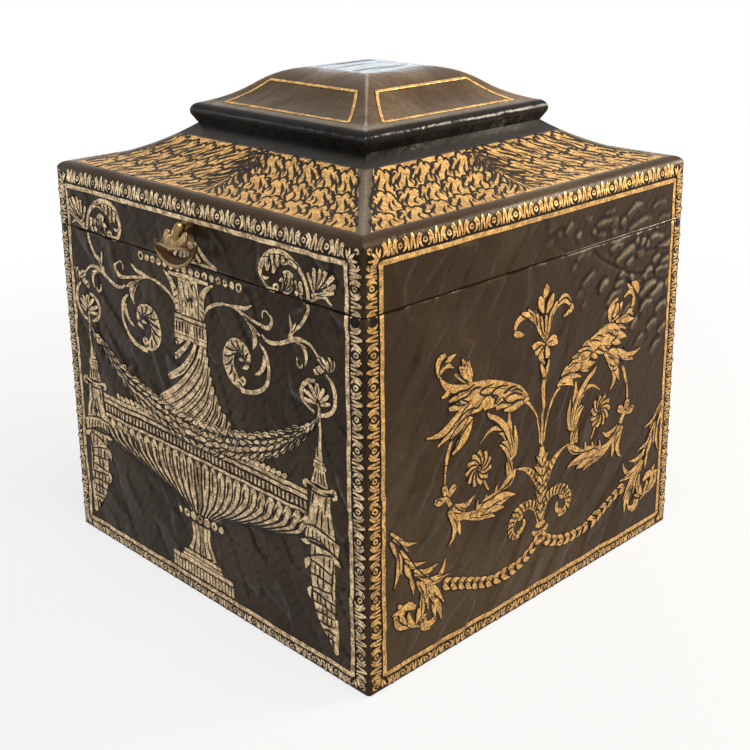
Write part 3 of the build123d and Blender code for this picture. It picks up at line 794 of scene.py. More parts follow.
def border(sheet):
    """Gilt fillet round the face, and the band of ringed beads and palmettes outside it."""
    left, right = FILLET_X, 1600 - FILLET_X
    for x in (left, right):
        sheet.stroke([(x, FILLET_TOP - 3), (x, 400), (x, 900), (x, FILLET_FOOT + 3)],
                     FILLET_HALF, fine=8)
    for y in (FILLET_TOP, FILLET_FOOT):
        sheet.stroke([(left, y), (600, y), (1000, y), (right, y)], FILLET_HALF, fine=8)

    def palmette(centre, out, tall, reach=1.0):
        """Two brackets that hug the beads beside it, two small legs, and a pointed arch."""
        along = out * 1j
        for side in (-1, 1):
            for points, halves in (
                    (((40, 4), (30, 13), (28, 23), (31, 33), (40, 42)), (1.5, 4.6, 5.4, 4.6, 1.5)),
                    (((17, 4), (18, 22), (22, 36), (32, 46)), (2.6, 3.8, 4.2, 2.4)),
                    (((8, 4), (6, 20), (4, 36), (0, 51)), (2.8, 3.8, 4.0, 2.6))):
                sheet.stroke([centre + side * along * a * reach + out * b * tall
                              for a, b in points], halves, fine=2)

    def bead(centre):
        sheet.bead(centre.real, centre.imag, 10.5, eye=3.2)

    pitch = 100.8
    for y, out, tall in ((FILLET_TOP - BEADS, -1j, 1.0), (FILLET_FOOT + BEADS, 1j, LOW)):
        for i in range(14):
            bead(complex(145 + pitch * i, y) + out * 23 * tall)
        for i in range(13):
            palmette(complex(145 + pitch * (i + 0.5), y), out, tall)
        for x in (104, 1496):
            palmette(complex(x, y), out, tall, 0.75)
    for x, out in ((left - BEADS, -1), (right + BEADS, 1)):
        for i in range(11):
            bead(complex(x + out * 23, 333 + 97 * i))
            palmette(complex(x, 284.5 + 97 * i), out, 0.92)
        bead(complex(x + out * 23, 137))
        for y, reach in ((185.5, 1.0), (98, 0.75), (1350, 1.0)):
            palmette(complex(x, y), out, 0.92, reach)
    for x, across in ((left, -1), (right, 1)):
        for y, up, tall in ((FILLET_TOP, -1, 1.0), (FILLET_FOOT, 1, LOW)):
            corner = complex(x + BEADS * across, y + BEADS * up)
            for dx, dy, fat in ((24, 24, 6), (4, 36, 5.5), (38, 2, 5.5), (-12, 30, 5),
                                (30, -14, 5)):
                sheet.leaf(corner, corner + complex(dx * across, dy * up * tall), fat,
                           ends=(0.6, 0.35), fine=2)
            bead(complex(x + 42 * across, y + 42 * up * tall))


# ---------------------------------------------------------------- the urn of the front
MID = 782                    # middle line of the urn on its sheet


def beside(way, *points):
    """Points measured from the urn's middle line, to the right for 1 and to the left for -1."""
    return [(MID + way * x, y) for x, y in points]


def spiral_scroll(sheet):
    """Arm from the urn's neck, its leafy spiral, and the branches beside it."""
    sheet.stroke([(856, 402), (868, 368), (898, 340), (944, 322), (992, 317), (1040, 325),
                  (1080, 346), (1106, 374), (1116, 402), (1104, 432)],
                 [4, 5, 6, 6, 6, 7, 10, 14, 12, 3])
    sheet.vein([(960, 322), (1010, 321), (1050, 334), (1086, 358), (1108, 392)], 2.2)
    sheet.stroke([(996, 314), (1048, 309), (1086, 302), (1110, 288)], [4, 7, 6, 3])
    sheet.stroke([(1046, 322), (1100, 334), (1150, 344), (1182, 344), (1198, 330), (1204, 308),
                  (1192, 299)], [5, 7, 6, 8, 7, 5, 2.5])
    sheet.vein([(1060, 332), (1110, 343), (1150, 350)], 2)
    sheet.leaf((1086, 348), (1150, 378), 9, rib=1.6)
    sheet.stroke([(1158, 318), (1162, 298), (1178, 291), (1192, 301)], [2.5, 3, 3, 2])
    sheet.stroke([(1140, 404), (1163, 424), (1176, 458), (1180, 496), (1166, 534), (1132, 562),
                  (1086, 580), (1040, 585)], [3, 8, 8, 7, 7, 8, 8, 9])
    crescent = Path([(1050, 574), (1012, 558), (986, 528), (980, 490), (994, 454), (1028, 436),
                     (1062, 446), (1080, 474), (1070, 502)])
    combed(sheet, crescent, [11, 22, 27, 28, 26, 23, 21, 19, 8],
           count=10, lean=0.85, start=0.10, stop=0.97, fat=2.8)
    sheet.leaf((1086, 494), (1048, 510), 8)
    sheet.leaf((1060, 480), (1030, 482), 7)
    sheet.bead(1050, 552, 16, fine=3, eye=4.5)
    sheet.vein([(1072, 560), (1050, 572), (1030, 560)], 2)
    sheet.stroke([(1160, 440), (1158, 474), (1143, 496), (1112, 514)], [6, 11, 9, 2.5])
    sheet.vein([(1170, 470), (1160, 492), (1140, 508)], 2)
    sheet.stroke([(1152, 372), (1180, 387), (1226, 382), (1266, 367), (1302, 350), (1342, 344),
                  (1378, 352), (1408, 378)], [3, 6, 7, 7, 9, 6, 5, 3])
    sheet.stroke([(1282, 350), (1302, 322), (1334, 300), (1358, 270), (1370, 240), (1372, 226)],
                 [8, 8, 6, 6, 6, 6])
    sheet.leaf((1292, 330), (1286, 270), 6, bow=0.05)
    sheet.leaf((1300, 322), (1320, 292), 5)
    sheet.stroke([(1310, 352), (1342, 364), (1356, 388), (1350, 424)], [6, 8, 7, 3])
    sheet.leaf((1328, 358), (1362, 366), 5)
    sheet.stroke([(1312, 404), (1314, 426), (1330, 432), (1338, 420)], [3, 4, 4, 2.5])


def lid_scroll(sheet):
    """Leafy hook on the lid with its shell, rosette and flower."""
    sheet.stroke([(1374, 222), (1372, 186), (1356, 150), (1326, 118), (1288, 98), (1246, 94),
                  (1206, 104), (1178, 128), (1164, 160), (1168, 192), (1190, 214), (1220, 216)],
                 [7, 7, 7, 8, 9, 11, 12, 11, 9, 8, 8, 9])
    for root, tip, fat, bow in (((1190, 118), (1194, 158), 11, -0.10),
                                ((1216, 106), (1218, 162), 11, -0.12),
                                ((1240, 102), (1238, 138), 10, -0.12),
                                ((1262, 102), (1258, 128), 8, -0.15),
                                ((1330, 124), (1270, 126), 8, 0.22)):
        sheet.leaf(root, tip, fat, bow=bow, belly=0.55, ends=(0.8, 0.5))
    sheet.cuts((
        ((1206, 104), (1200, 130), (1206, 150)), ((1228, 100), (1224, 122), (1230, 142)),
        ((1252, 98), (1248, 114), (1250, 130)), ((1312, 116), (1284, 112), (1268, 122))))
    sheet.leaf((1172, 178), (1202, 178), 6, bow=0.2)
    sheet.bead(1228, 204, 14, fine=3, eye=4)
    sheet.stroke([(1258, 214), (1276, 192), (1282, 164)], [12, 25, 20])
    sheet.stroke([(1262, 158), (1284, 152), (1302, 160)], [9, 12, 8])
    sheet.leaf((1268, 172), (1240, 182), 8)
    for x, y in ((1256, 152), (1276, 150), (1296, 160), (1302, 182)):
        sheet.vein([(1254, 210), ((1254 + x) / 2 + 10, (210 + y) / 2 + 6), (x, y)], 2)
    sheet.bead(1334, 190, 21, fine=3)
    for x, y in ((1318, 172), (1342, 170), (1318, 204), (1340, 210)):
        sheet.bead(x, y, 9)
    sheet.vein([(1330, 168), (1332, 186), (1346, 196)], 2)
    sheet.vein([(1316, 190), (1332, 192), (1330, 208)], 2)
    sheet.stroke([(1376, 220), (1400, 204), (1436, 189), (1476, 206)], [4, 6, 6, 3])
    sheet.stroke([(1394, 200), (1410, 176), (1436, 150)], [8, 14, 16])
    for tip, fat in (((1374, 128), 6.5), ((1402, 110), 7.5), ((1430, 103), 8),
                     ((1456, 108), 7.5), ((1482, 120), 9), ((1490, 146), 9), ((1482, 168), 7)):
        sheet.leaf((1400, 190), tip, fat, belly=0.7, ends=(0.4, 0.75))
    for x, y in ((1392, 136), (1416, 122), (1443, 118), (1460, 130), (1474, 146), (1468, 162)):
        sheet.vein([(1404, 184), ((1404 + x) / 2, (184 + y) / 2), (x, y)], 2)


def flower_and_ring(sheet):
    """Three-lobed flower, and the ring with its palmette."""
    sheet.stroke([(1390, 430), (1410, 420), (1434, 404)], [9, 14, 11])
    sheet.stroke([(1406, 384), (1424, 390), (1442, 402)], [11, 17, 12])
    sheet.stroke([(1448, 408), (1463, 390), (1468, 370)], [11, 20, 15])
    sheet.cuts((
        ((1396, 416), (1412, 428), (1426, 430)), ((1404, 392), (1420, 400), (1438, 412)),
        ((1414, 378), (1428, 390), (1444, 398)), ((1450, 372), (1462, 390), (1458, 412)),
        ((1464, 364), (1476, 384), (1470, 404))), 2.2)
    sheet.stroke([(1444, 424), (1470, 448), (1480, 488), (1471, 526), (1446, 549), (1414, 561)],
                 [4, 8, 8, 7, 7, 6])
    sheet.stroke([(1394, 456), (1360, 466), (1338, 490), (1338, 522), (1356, 546), (1384, 559)],
                 [5, 8, 8, 8, 7, 5])
    for root, tip, fat in (((1396, 527), (1346, 522), 6.5), ((1398, 518), (1346, 496), 7.5),
                           ((1402, 510), (1368, 470), 8), ((1405, 506), (1403, 462), 12),
                           ((1410, 510), (1434, 470), 8), ((1416, 518), (1454, 486), 7.5),
                           ((1418, 527), (1458, 512), 6.5)):
        sheet.leaf(root, tip, fat, belly=0.6, ends=(0.5, 0.6))
    sheet.vein([(1404, 496), (1404, 484), (1403, 474)])
    sheet.stroke([(1400, 524), (1406, 540), (1402, 570)], [4, 5, 5])


def tassel(sheet):
    """Cone, collar, bell and two tiers of drapery over a chequered tail."""
    sheet.stroke([(1406, 562), (1406, 610), (1405, 660), (1402, 708)], [5, 7, 11, 17])
    sheet.vein([(1402, 600), (1400, 640), (1396, 700)], 2)
    sheet.stroke([(1378, 716), (1400, 717), (1424, 716)], 5)
    sheet.stroke([(1376, 731), (1402, 731), (1432, 729)], 7)
    sheet.stroke([(1404, 738), (1402, 764), (1400, 792)], [24, 31, 40])
    for k in range(4):
        sheet.vein([(1386 + 11 * k, 748), (1379 + 15 * k, 786)], 2.2)
    sheet.stroke([(1340, 816), (1334, 800), (1352, 794), (1402, 806), (1446, 796), (1466, 794),
                  (1470, 812), (1456, 818)], [6, 8, 7, 7, 7, 7, 6, 4])
    sheet.vein([(1350, 788), (1400, 800), (1448, 790)], 2)
    sheet.stroke([(1406, 812), (1404, 870), (1402, 935)], [43, 50, 66])
    sheet.vein([(1346, 812), (1400, 822), (1452, 812)], 2)
    for x0, x1, top, low in ((1374, 1366, 820, 862), (1398, 1380, 858, 935),
                             (1430, 1422, 824, 880), (1412, 1406, 870, 936),
                             (1436, 1442, 884, 938)):
        sheet.vein([(x0, top), ((x0 + x1) / 2, (top + low) / 2), (x1, low)], 2.4)
    sheet.stroke([(1334, 942), (1400, 938), (1466, 950)], [9, 8, 9])
    sheet.stroke([(1330, 972), (1402, 964), (1482, 984)], [22, 26, 22])
    sheet.vein([(1330, 944), (1372, 936), (1420, 942), (1470, 954)])
    for k in range(7):
        sheet.vein([(1346 + 18.5 * k, 950 + 2 * k), (1342 + 20.5 * k, 984 + 3 * k)], 2.2)
    sheet.vein([(1308, 1000), (1350, 984), (1400, 982), (1450, 998), (1490, 1018)])
    sheet.leaf((1352, 1002), (1306, 1002), 9)
    sheet.leaf((1450, 1006), (1492, 1032), 13)
    sheet.stroke([(1408, 1000), (1408, 1060), (1408, 1110), (1410, 1160), (1414, 1210),
                  (1424, 1246), (1438, 1276), (1450, 1306), (1462, 1344)],
                 [56, 56, 56, 56, 50, 40, 28, 18, 5])
    sheet.leaf((1352, 1052), (1330, 1096), 13, bow=0.1)
    sheet.leaf((1352, 1150), (1350, 1192), 9, bow=0.2)
    sheet.stroke([(1466, 1220), (1468, 1280), (1466, 1340)], [6, 7, 6])
    sheet.cuts((
        ((1346, 1048), (1390, 1026), (1460, 1008)), ((1350, 1056), (1400, 1062), (1450, 1078)),
        ((1350, 1100), (1400, 1102), (1450, 1108)), ((1352, 1150), (1400, 1144), (1450, 1136)),
        ((1350, 1162), (1400, 1166), (1466, 1172)), ((1360, 1196), (1410, 1196), (1466, 1204)),
        ((1366, 1228), (1410, 1224), (1460, 1224)), ((1388, 1254), (1420, 1256), (1458, 1252)),
        ((1404, 1278), (1430, 1272), (1460, 1278)), ((1410, 1300), (1436, 1296), (1458, 1304)),
        ((1460, 1016), (1450, 1090), (1452, 1160))), 2.5)
    for x, top, low in ((1374, 1004, 1030), (1416, 1028, 1056), (1440, 1024, 1056),
                        (1374, 1064, 1098), (1396, 1066, 1098), (1412, 1068, 1100),
                        (1386, 1106, 1142), (1410, 1108, 1142), (1432, 1150, 1160),
                        (1378, 1168, 1192), (1394, 1168, 1194), (1420, 1170, 1196),
                        (1446, 1172, 1200), (1402, 1202, 1222), (1424, 1202, 1222),
                        (1404, 1228, 1250), (1424, 1228, 1252), (1444, 1228, 1250),
                        (1430, 1282, 1318), (1448, 1284, 1330)):
        sheet.vein([(x, top), (x - 1, (top + low) / 2), (x, low)], 2.2, fine=1)


def bowl(sheet):
    """Moulded rim, dentils, gadrooned bowl, beaded knop, stem and plinth, right half."""
    for y, x0, x1, x2, half in ((833, 958, 1100, 1347, 7.5), (852, 872, 1100, 1344, 7.5),
                                (879, MID, 1060, 1338, 14)):
        sheet.stroke([(x0, y), (x1, y), (x2, y)], half)
    for k in range(28):
        x = MID + 20 * k
        sheet.vein([(x, 867), (x, 892)], [3.2, 3.2] if k % 5 else [2, 3.4], fine=1)
    for y in (842.5, 864, 897):
        sheet.vein([(MID, y), (1060, y), (1342, y)], 2.2, fine=8)
    sheet.stroke([(MID, 905), (1060, 905), (1336, 905)], 6)
    lobes, pitch, brink = 13, 42.5, 918
    for k in range(lobes + 1):
        d = pitch * k
        far = d / 560
        # down each lobe: its place as a share of d, and how far it is under the brink
        steps = ((1.0, -4), (1.0, 12), (1 - 0.035 * far, 34), (0.985 - 0.045 * far, 58),
                 (0.93 - 0.12 * far, 94), (0.76 - 0.22 * far, 140), (0.50 - 0.15 * far, 174),
                 (0.36 - 0.08 * far, 192))
        marks = [complex(MID + d * a, brink + b) for a, b in steps]
        halves = []
        for i, (a, b) in enumerate(steps):
            run = marks[min(i + 1, 7)] - marks[max(i - 1, 0)]
            halves.append(max(0.425 * pitch * a * abs(run.imag) / abs(run), 1.4))
        halves[0], halves[1], halves[-1] = 9, halves[1] * 0.96, halves[-1] * 0.6
        last = 8 if far < 0.62 else 7 if far < 0.8 else 6
        sheet.stroke(marks[:last], halves[:last], fine=4)
        inner = [complex(m.real - (3 + 7 * far) * (k > 0), m.imag) for m in marks[1:5]]
        sheet.vein([inner[0] + 6j, inner[1], inner[2], inner[3] - 4j], [1.6, 3.6, 2.4, 0.8])
        edge = [complex(MID + (d + 21) * a, brink + b) for a, b in steps[2:last]]
        sheet.vein(edge, [1.8, 2.9] + [3.6] * (len(edge) - 3) + [2.4])
    for k in range(4):
        sheet.bead(MID + 38 * k, 1131, 18 if k < 3 else 14, fine=3, eye=0 if k % 2 else 4)
    for x0, x1, x2, half in ((0, 0, 0, 11), (26, 22, 34, 10), (46, 42, 70, 7.5)):
        sheet.stroke(beside(1, (x0, 1156), (x1, 1205), ((x1 + x2) / 2, 1245), (x2, 1270)),
                     [half, half * 0.9, half, half * 1.3])
    for y, middle, reach, half in ((1284, 60, 104, 6.5), (1299, 60, 112, 4.5),
                                   (1314, 90, 168, 8)):
        sheet.stroke(beside(1, (0, y), (middle, y), (reach, y)), half)
    for k in range(10):
        x = 8.7 + 17.4 * k
        sheet.stroke(beside(1, (x, 1328), (x, 1364)), [6, 6.6], fine=1)


def festoon(sheet):
    """Leafy swag from the ring down to the middle, right half, and the leaves on the rim."""
    swag = Path([(1402, 570), (1374, 600), (1334, 632), (1284, 668), (1226, 702), (1160, 734),
                 (1080, 764), (990, 790), (890, 806), (MID, 812)])
    foliage(sheet, swag, [14, 24, 32, 38, 40, 42, 44], rows=4, pitch=38, splay=0.30,
            start=0.12, stop=1.0, wild=0.08, lines=(1, -1))
    foliage(sheet, swag, [5, 9, 14], rows=2, pitch=28, splay=0.4,
            start=0.0, stop=0.13, wild=0.1, lines=(1,))
    for k in range(9):
        sheet.leaf((1012 + 27 * k, 822 - 1.2 * k), (1036 + 27 * k, 806 - 0.4 * k), 9,
                   bow=0.2, ends=(0.6, 0.5), fine=2)


def urn_body(sheet):
    """Capital, collar and the spiral-fluted body, with the cone over them."""
    for k in range(8):
        for way in (-1, 1):
            x = MID + way * (17.7 + 35.5 * k)
            if k < 7:
                sheet.bead(x, 246, 14, fine=3, eye=3.5 if k % 3 else 0)
            else:
                sheet.ring(x, 246, 12, 3.5)
    sheet.stroke([(MID, 274), (MID, 340), (MID, 402)], [52, 64, 72])
    sheet.stroke([(MID - 104, 270), (MID, 268), (MID + 104, 270)], [5, 9, 5])
    for way in (-1, 1):
        for points, halves, level in (
                (((132, 268), (104, 284), (80, 312), (68, 356), (66, 400)), (3, 8, 14, 15, 13), 1),
                (((33, 400), (34, 360), (38, 320), (30, 290)), (14, 14, 13, 4), 2),
                (((11, 400), (12, 350), (11, 310), (3, 278)), (10, 10, 9, 4), 1)):
            sheet.stroke(beside(way, *points), halves, level=level)
        sheet.vein(beside(way, (34, 388), (36, 366), (30, 350)))
        sheet.vein(beside(way, (12, 372), (10, 350), (16, 330)))
        for y in range(318, 391, 24):
            sheet.vein(beside(way, (80, y + 12), (70, y + 4), (60, y)), 2.2)
    for y, reach, half, level in ((412, 84, 6, 0), (446, 86, 32, 0), (482, 84, 7, 1)):
        sheet.stroke([(MID - reach, y), (MID, y + 1), (MID + reach, y)], half, level=level)
    sheet.vein([(MID - 86, 421), (MID, 422), (MID + 86, 421)], 2.6, fine=8)
    for x in (-76, -60, -44, -28, 34, 50, 66):
        sheet.vein([(MID + x, 430), (MID + x, 464)], 4.2, fine=1)
    for way, x in ((-1, 16), (1, 20)):
        sheet.vein(beside(way, (x, 428), (x + 1, 466)), 2.4, fine=1)

    # spiral flutes, each lapped over the one above it and rolled up at its left end
    flutes = (
        (((740, 490), (722, 498), (698, 512)), (8, 11, 13)),
        (((772, 490), (745, 519), (712, 546), (688, 566)), (8, 11, 13, 15)),
        (((806, 490), (780, 540), (735, 592), (690, 622), (644, 646)), (9, 13, 16, 16, 13)),
        (((836, 490), (815, 545), (775, 600), (720, 655), (650, 705), (584, 742)),
         (9, 14, 18, 20, 20, 15)),
        (((858, 494), (845, 552), (805, 615), (750, 670), (690, 715), (620, 756)),
         (9, 13, 17, 19, 19, 16)),
        (((868, 520), (850, 585), (810, 645), (760, 695), (700, 742), (656, 770)),
         (8, 12, 16, 17, 17, 14)),
        (((874, 552), (856, 618), (818, 675), (765, 725), (710, 768)), (8, 12, 15, 16, 16)),
        (((882, 585), (865, 645), (830, 700), (785, 745), (748, 780)), (8, 12, 14, 15, 15)),
        (((893, 615), (880, 670), (850, 718), (810, 760), (786, 786)), (8, 11, 13, 14, 14)),
        (((908, 643), (898, 690), (870, 735), (830, 784)), (8, 11, 13, 14)),
        (((926, 670), (916, 712), (893, 750), (864, 790)), (8, 11, 12, 13)),
        (((946, 694), (938, 732), (918, 765), (898, 794)), (8, 10, 12, 12)),
        (((968, 716), (960, 748), (944, 778), (930, 798)), (8, 10, 11, 11)),
        (((990, 738), (984, 764), (968, 796)), (7, 10, 10)),
        (((1010, 758), (1004, 778), (996, 797)), (7, 9, 9)))
    for k, (points, halves) in enumerate(flutes):
        sheet.stroke(points, [0.88 * w for w in halves], fine=5, level=k % 3)
        if k > 1:
            line = Path(points)
            last = 0.80 if k < 4 else 0.96
            sheet.vein([line.at(t) - line.along(t) * 1j * 0.30 * taken(halves, t)
                        for t in np.linspace(0.12, last, 5)], 2.3)
        if k < 4:
            x, y = points[-1]
            for way in (-1, 1):
                sheet.vein([(x + 17, y - 12), (x + 1 + 7 * way, y - 1 + 7 * way), (x - 9, y + 8)],
                           1.9)
    sheet.stroke([(636, 211), (MID, 213), (934, 211)], 5.5)
    for way in (-1, 1):
        sheet.stroke(beside(way, (4, 104), (24, 124), (60, 158), (102, 190), (156, 209)),
                     [4, 8, 8, 8, 4])
        for x, fat in ((12, 7), (36, 7), (68, 6.5)):
            sheet.stroke(beside(way, (3 + x * 0.10, 122), (x * 0.52, 162), (x, 204)),
                         [3, fat, fat])


def draw_urn(sheet):
    """The whole front: right half, its mirror, and the body that turns one way."""
    since = sheet.count()
    for part in (spiral_scroll, lid_scroll, flower_and_ring, tassel, bowl, festoon):
        part(sheet)
    sheet.mirror(MID, since)
    urn_body(sheet)


# ---------------------------------------------------------------- the scrollwork of the sides
STEM = 812                   # middle line of the scrollwork on its sheet


def leaves(sheet, rows):
    """Leaves from rows of root, tip, fatness and bow."""
    for root, tip, fat, bow in rows:
        sheet.leaf(root, tip, fat, bow=bow, ends=(0.45, 0.10))


def fleuron(sheet):
    """Bud at the top of the stem, its hooked leaves to both sides, and the knot below it."""
    sheet.lapped((
        (((812, 296), (813, 312), (808, 330), (807, 348)), (3, 13, 12, 5)),
        (((777, 332), (787, 356), (801, 394)), (6, 17, 4)),
        (((847, 336), (836, 362), (816, 396)), (5, 15, 4)),
        (((788, 402), (796, 440), (808, 492)), (7, 12, 3)),
        (((817, 402), (819, 440), (812, 494)), (7, 13, 3)),
        (((842, 394), (833, 430), (817, 484)), (8, 9, 3)),
        (((757, 376), (770, 402), (786, 446), (806, 488)), (3, 11, 11, 3)),
        (((720, 361), (744, 388), (768, 420)), (3, 11, 7)),
        (((685, 365), (718, 380), (750, 404)), (3, 11, 7)),
        (((724, 388), (692, 380), (664, 392), (652, 414)), (8, 10, 9, 5)),
        (((650, 423), (668, 432), (700, 442)), (8, 12, 3)),
        (((868, 368), (852, 390), (838, 412)), (4, 11, 7)),
        (((844, 406), (872, 381), (904, 376), (934, 388), (946, 404)), (7, 9, 8, 7, 5)),
        (((878, 370), (900, 358), (922, 362), (944, 384)), (4, 8, 7, 3)),
        (((948, 396), (951, 408), (934, 420), (908, 431)), (5, 9, 8, 3)),
        (((808, 502), (774, 500), (750, 506)), (4, 18, 13)),
        (((784, 512), (764, 518), (762, 526)), (6, 12, 6)),
        (((814, 502), (848, 499), (874, 502)), (4, 20, 15)),
        (((806, 512), (790, 530), (798, 550), (814, 572)), (5, 14, 11, 2)),
        (((819, 511), (826, 530), (822, 552)), (5, 12, 6)),
        (((793, 564), (801, 586), (810, 612)), (4, 8, 8)),
        (((830, 560), (825, 584), (815, 612)), (4, 8, 8))))
    sheet.cuts((
        ((809, 338), (808, 370), (808, 400)), ((831, 334), (822, 348), (820, 354)),
        ((772, 374), (792, 392), (806, 410)), ((858, 370), (832, 394), (816, 408)),
        ((784, 404), (790, 440), (802, 472)), ((806, 408), (806, 434), (806, 460)),
        ((823, 408), (823, 424), (824, 442)), ((846, 398), (838, 424), (836, 446)),
        ((760, 378), (762, 402), (774, 428)), ((718, 367), (740, 388), (752, 410)),
        ((686, 372), (702, 383), (726, 394)), ((874, 378), (896, 366), (922, 368), (942, 386)),
        ((808, 508), (786, 499), (764, 505), (752, 508)), ((812, 506), (836, 500), (862, 502)),
        ((838, 512), (850, 513), (864, 511)), ((778, 526), (790, 516), (806, 509)),
        ((807, 512), (809, 530), (813, 550)), ((798, 560), (812, 584), (816, 590)),
        ((824, 556), (820, 568), (814, 580)), ((799, 620), (812, 622), (825, 619))), 2.3)


def left_branch(sheet):
    """Thin stalk from the stem to the left scaled leaf."""
    sheet.stroke([(803, 850), (796, 800), (780, 752), (758, 712), (730, 684), (706, 672)],
                 [4, 3.5, 3.5, 4.5, 5, 4])


def left_acanthus(sheet):
    """The scaled leaf on the left, with its bud, head and tails."""
    sheet.lapped((
        (((730, 660), (690, 628), (640, 604), (580, 580), (520, 562), (460, 550), (400, 540),
         (350, 522), (318, 494)), (5, 13, 16, 17, 17, 16, 14, 12, 6)),
        (((706, 656), (650, 640), (600, 622), (540, 606), (480, 592), (430, 582), (386, 574)),
         (9, 18, 24, 29, 31, 26, 14)),
        (((700, 668), (650, 676), (606, 672)), (11, 13, 3)),
        (((650, 652), (606, 652), (570, 658)), (14, 13, 4)),
        (((590, 630), (546, 632), (510, 640)), (16, 15, 4)),
        (((530, 606), (486, 624), (454, 640)), (16, 15, 5)),
        (((430, 560), (386, 562), (350, 568)), (13, 12, 4)),
        (((430, 588), (386, 592), (348, 592)), (13, 13, 6)),
        (((450, 604), (400, 622), (350, 646), (300, 662), (246, 655)), (16, 19, 15, 9, 2)),
        (((450, 620), (410, 642), (360, 666), (298, 698)), (14, 16, 15, 3)),
        (((450, 636), (404, 664), (358, 690)), (12, 15, 6)),
        (((452, 648), (430, 684), (402, 716), (364, 746)), (9, 16, 15, 3)),
        (((346, 524), (324, 504), (310, 478)), (11, 6, 3)),
        (((350, 530), (334, 542), (316, 545)), (11, 8, 3)),
        (((303, 477), (297, 446), (307, 421), (332, 411)), (4, 8, 11, 7)),
        (((318, 450), (342, 433), (378, 421)), (8, 11, 2)),
        (((309, 466), (334, 447), (366, 461)), (6, 10, 2)),
        (((442, 532), (424, 490), (402, 443)), (9, 19, 3)),
        (((440, 530), (406, 506), (370, 484)), (7, 11, 3)),
        (((444, 530), (442, 496), (436, 460)), (7, 13, 6)),
        (((420, 500), (404, 480), (389, 464)), (9, 12, 3)),
        (((696, 664), (672, 676), (652, 686)), (6, 9, 2)),
        (((420, 594), (400, 606), (384, 626)), (8, 12, 4)),
        (((426, 680), (412, 700), (410, 722)), (6, 14, 6)),
        (((560, 640), (584, 648), (616, 656)), (4, 12, 6)),
        (((706, 672), (720, 668), (736, 670)), (4, 8, 4))))
    sheet.cuts((
        ((352, 560), (394, 546), (430, 550), (462, 541)),
        ((352, 576), (400, 572), (432, 570), (456, 557), (496, 558)),
        ((400, 574), (426, 588), (444, 602)), ((366, 580), (392, 590), (430, 596)),
        ((556, 568), (520, 571), (490, 577), (510, 592), (534, 600)),
        ((624, 592), (584, 585), (550, 600), (574, 616), (560, 634), (592, 624)),
        ((668, 608), (640, 602), (602, 612)), ((702, 650), (670, 632), (640, 626), (606, 636)),
        ((598, 622), (612, 642), (640, 656), (680, 654)),
        ((478, 628), (506, 606), (534, 598), (566, 624)), ((640, 668), (668, 660), (710, 664)),
        ((384, 642), (412, 624), (450, 618), (478, 626), (502, 610)),
        ((352, 654), (392, 630), (420, 606), (442, 600)),
        ((348, 692), (384, 664), (424, 644), (474, 640)), ((392, 706), (428, 674), (462, 652)),
        ((306, 684), (346, 662), (376, 650)), ((356, 702), (384, 692), (408, 696)),
        ((574, 646), (596, 640), (612, 650)), ((304, 466), (307, 446), (322, 434), (340, 424)),
        ((322, 448), (334, 440), (346, 440)), ((384, 488), (410, 508), (432, 530)),
        ((392, 470), (408, 480), (416, 476)), ((414, 506), (426, 522), (438, 530)),
        ((404, 460), (414, 466), (424, 462)), ((432, 470), (428, 490), (434, 506)),
        ((604, 628), (616, 645), (632, 655)), ((608, 616), (640, 605), (660, 606)),
        ((540, 590), (552, 610), (568, 622)), ((456, 630), (462, 622), (470, 618)),
        ((380, 556), (388, 548), (408, 550)), ((384, 584), (390, 580), (400, 586)),
        ((370, 736), (392, 714), (404, 698)), ((640, 616), (672, 618), (700, 634))), 2.8)


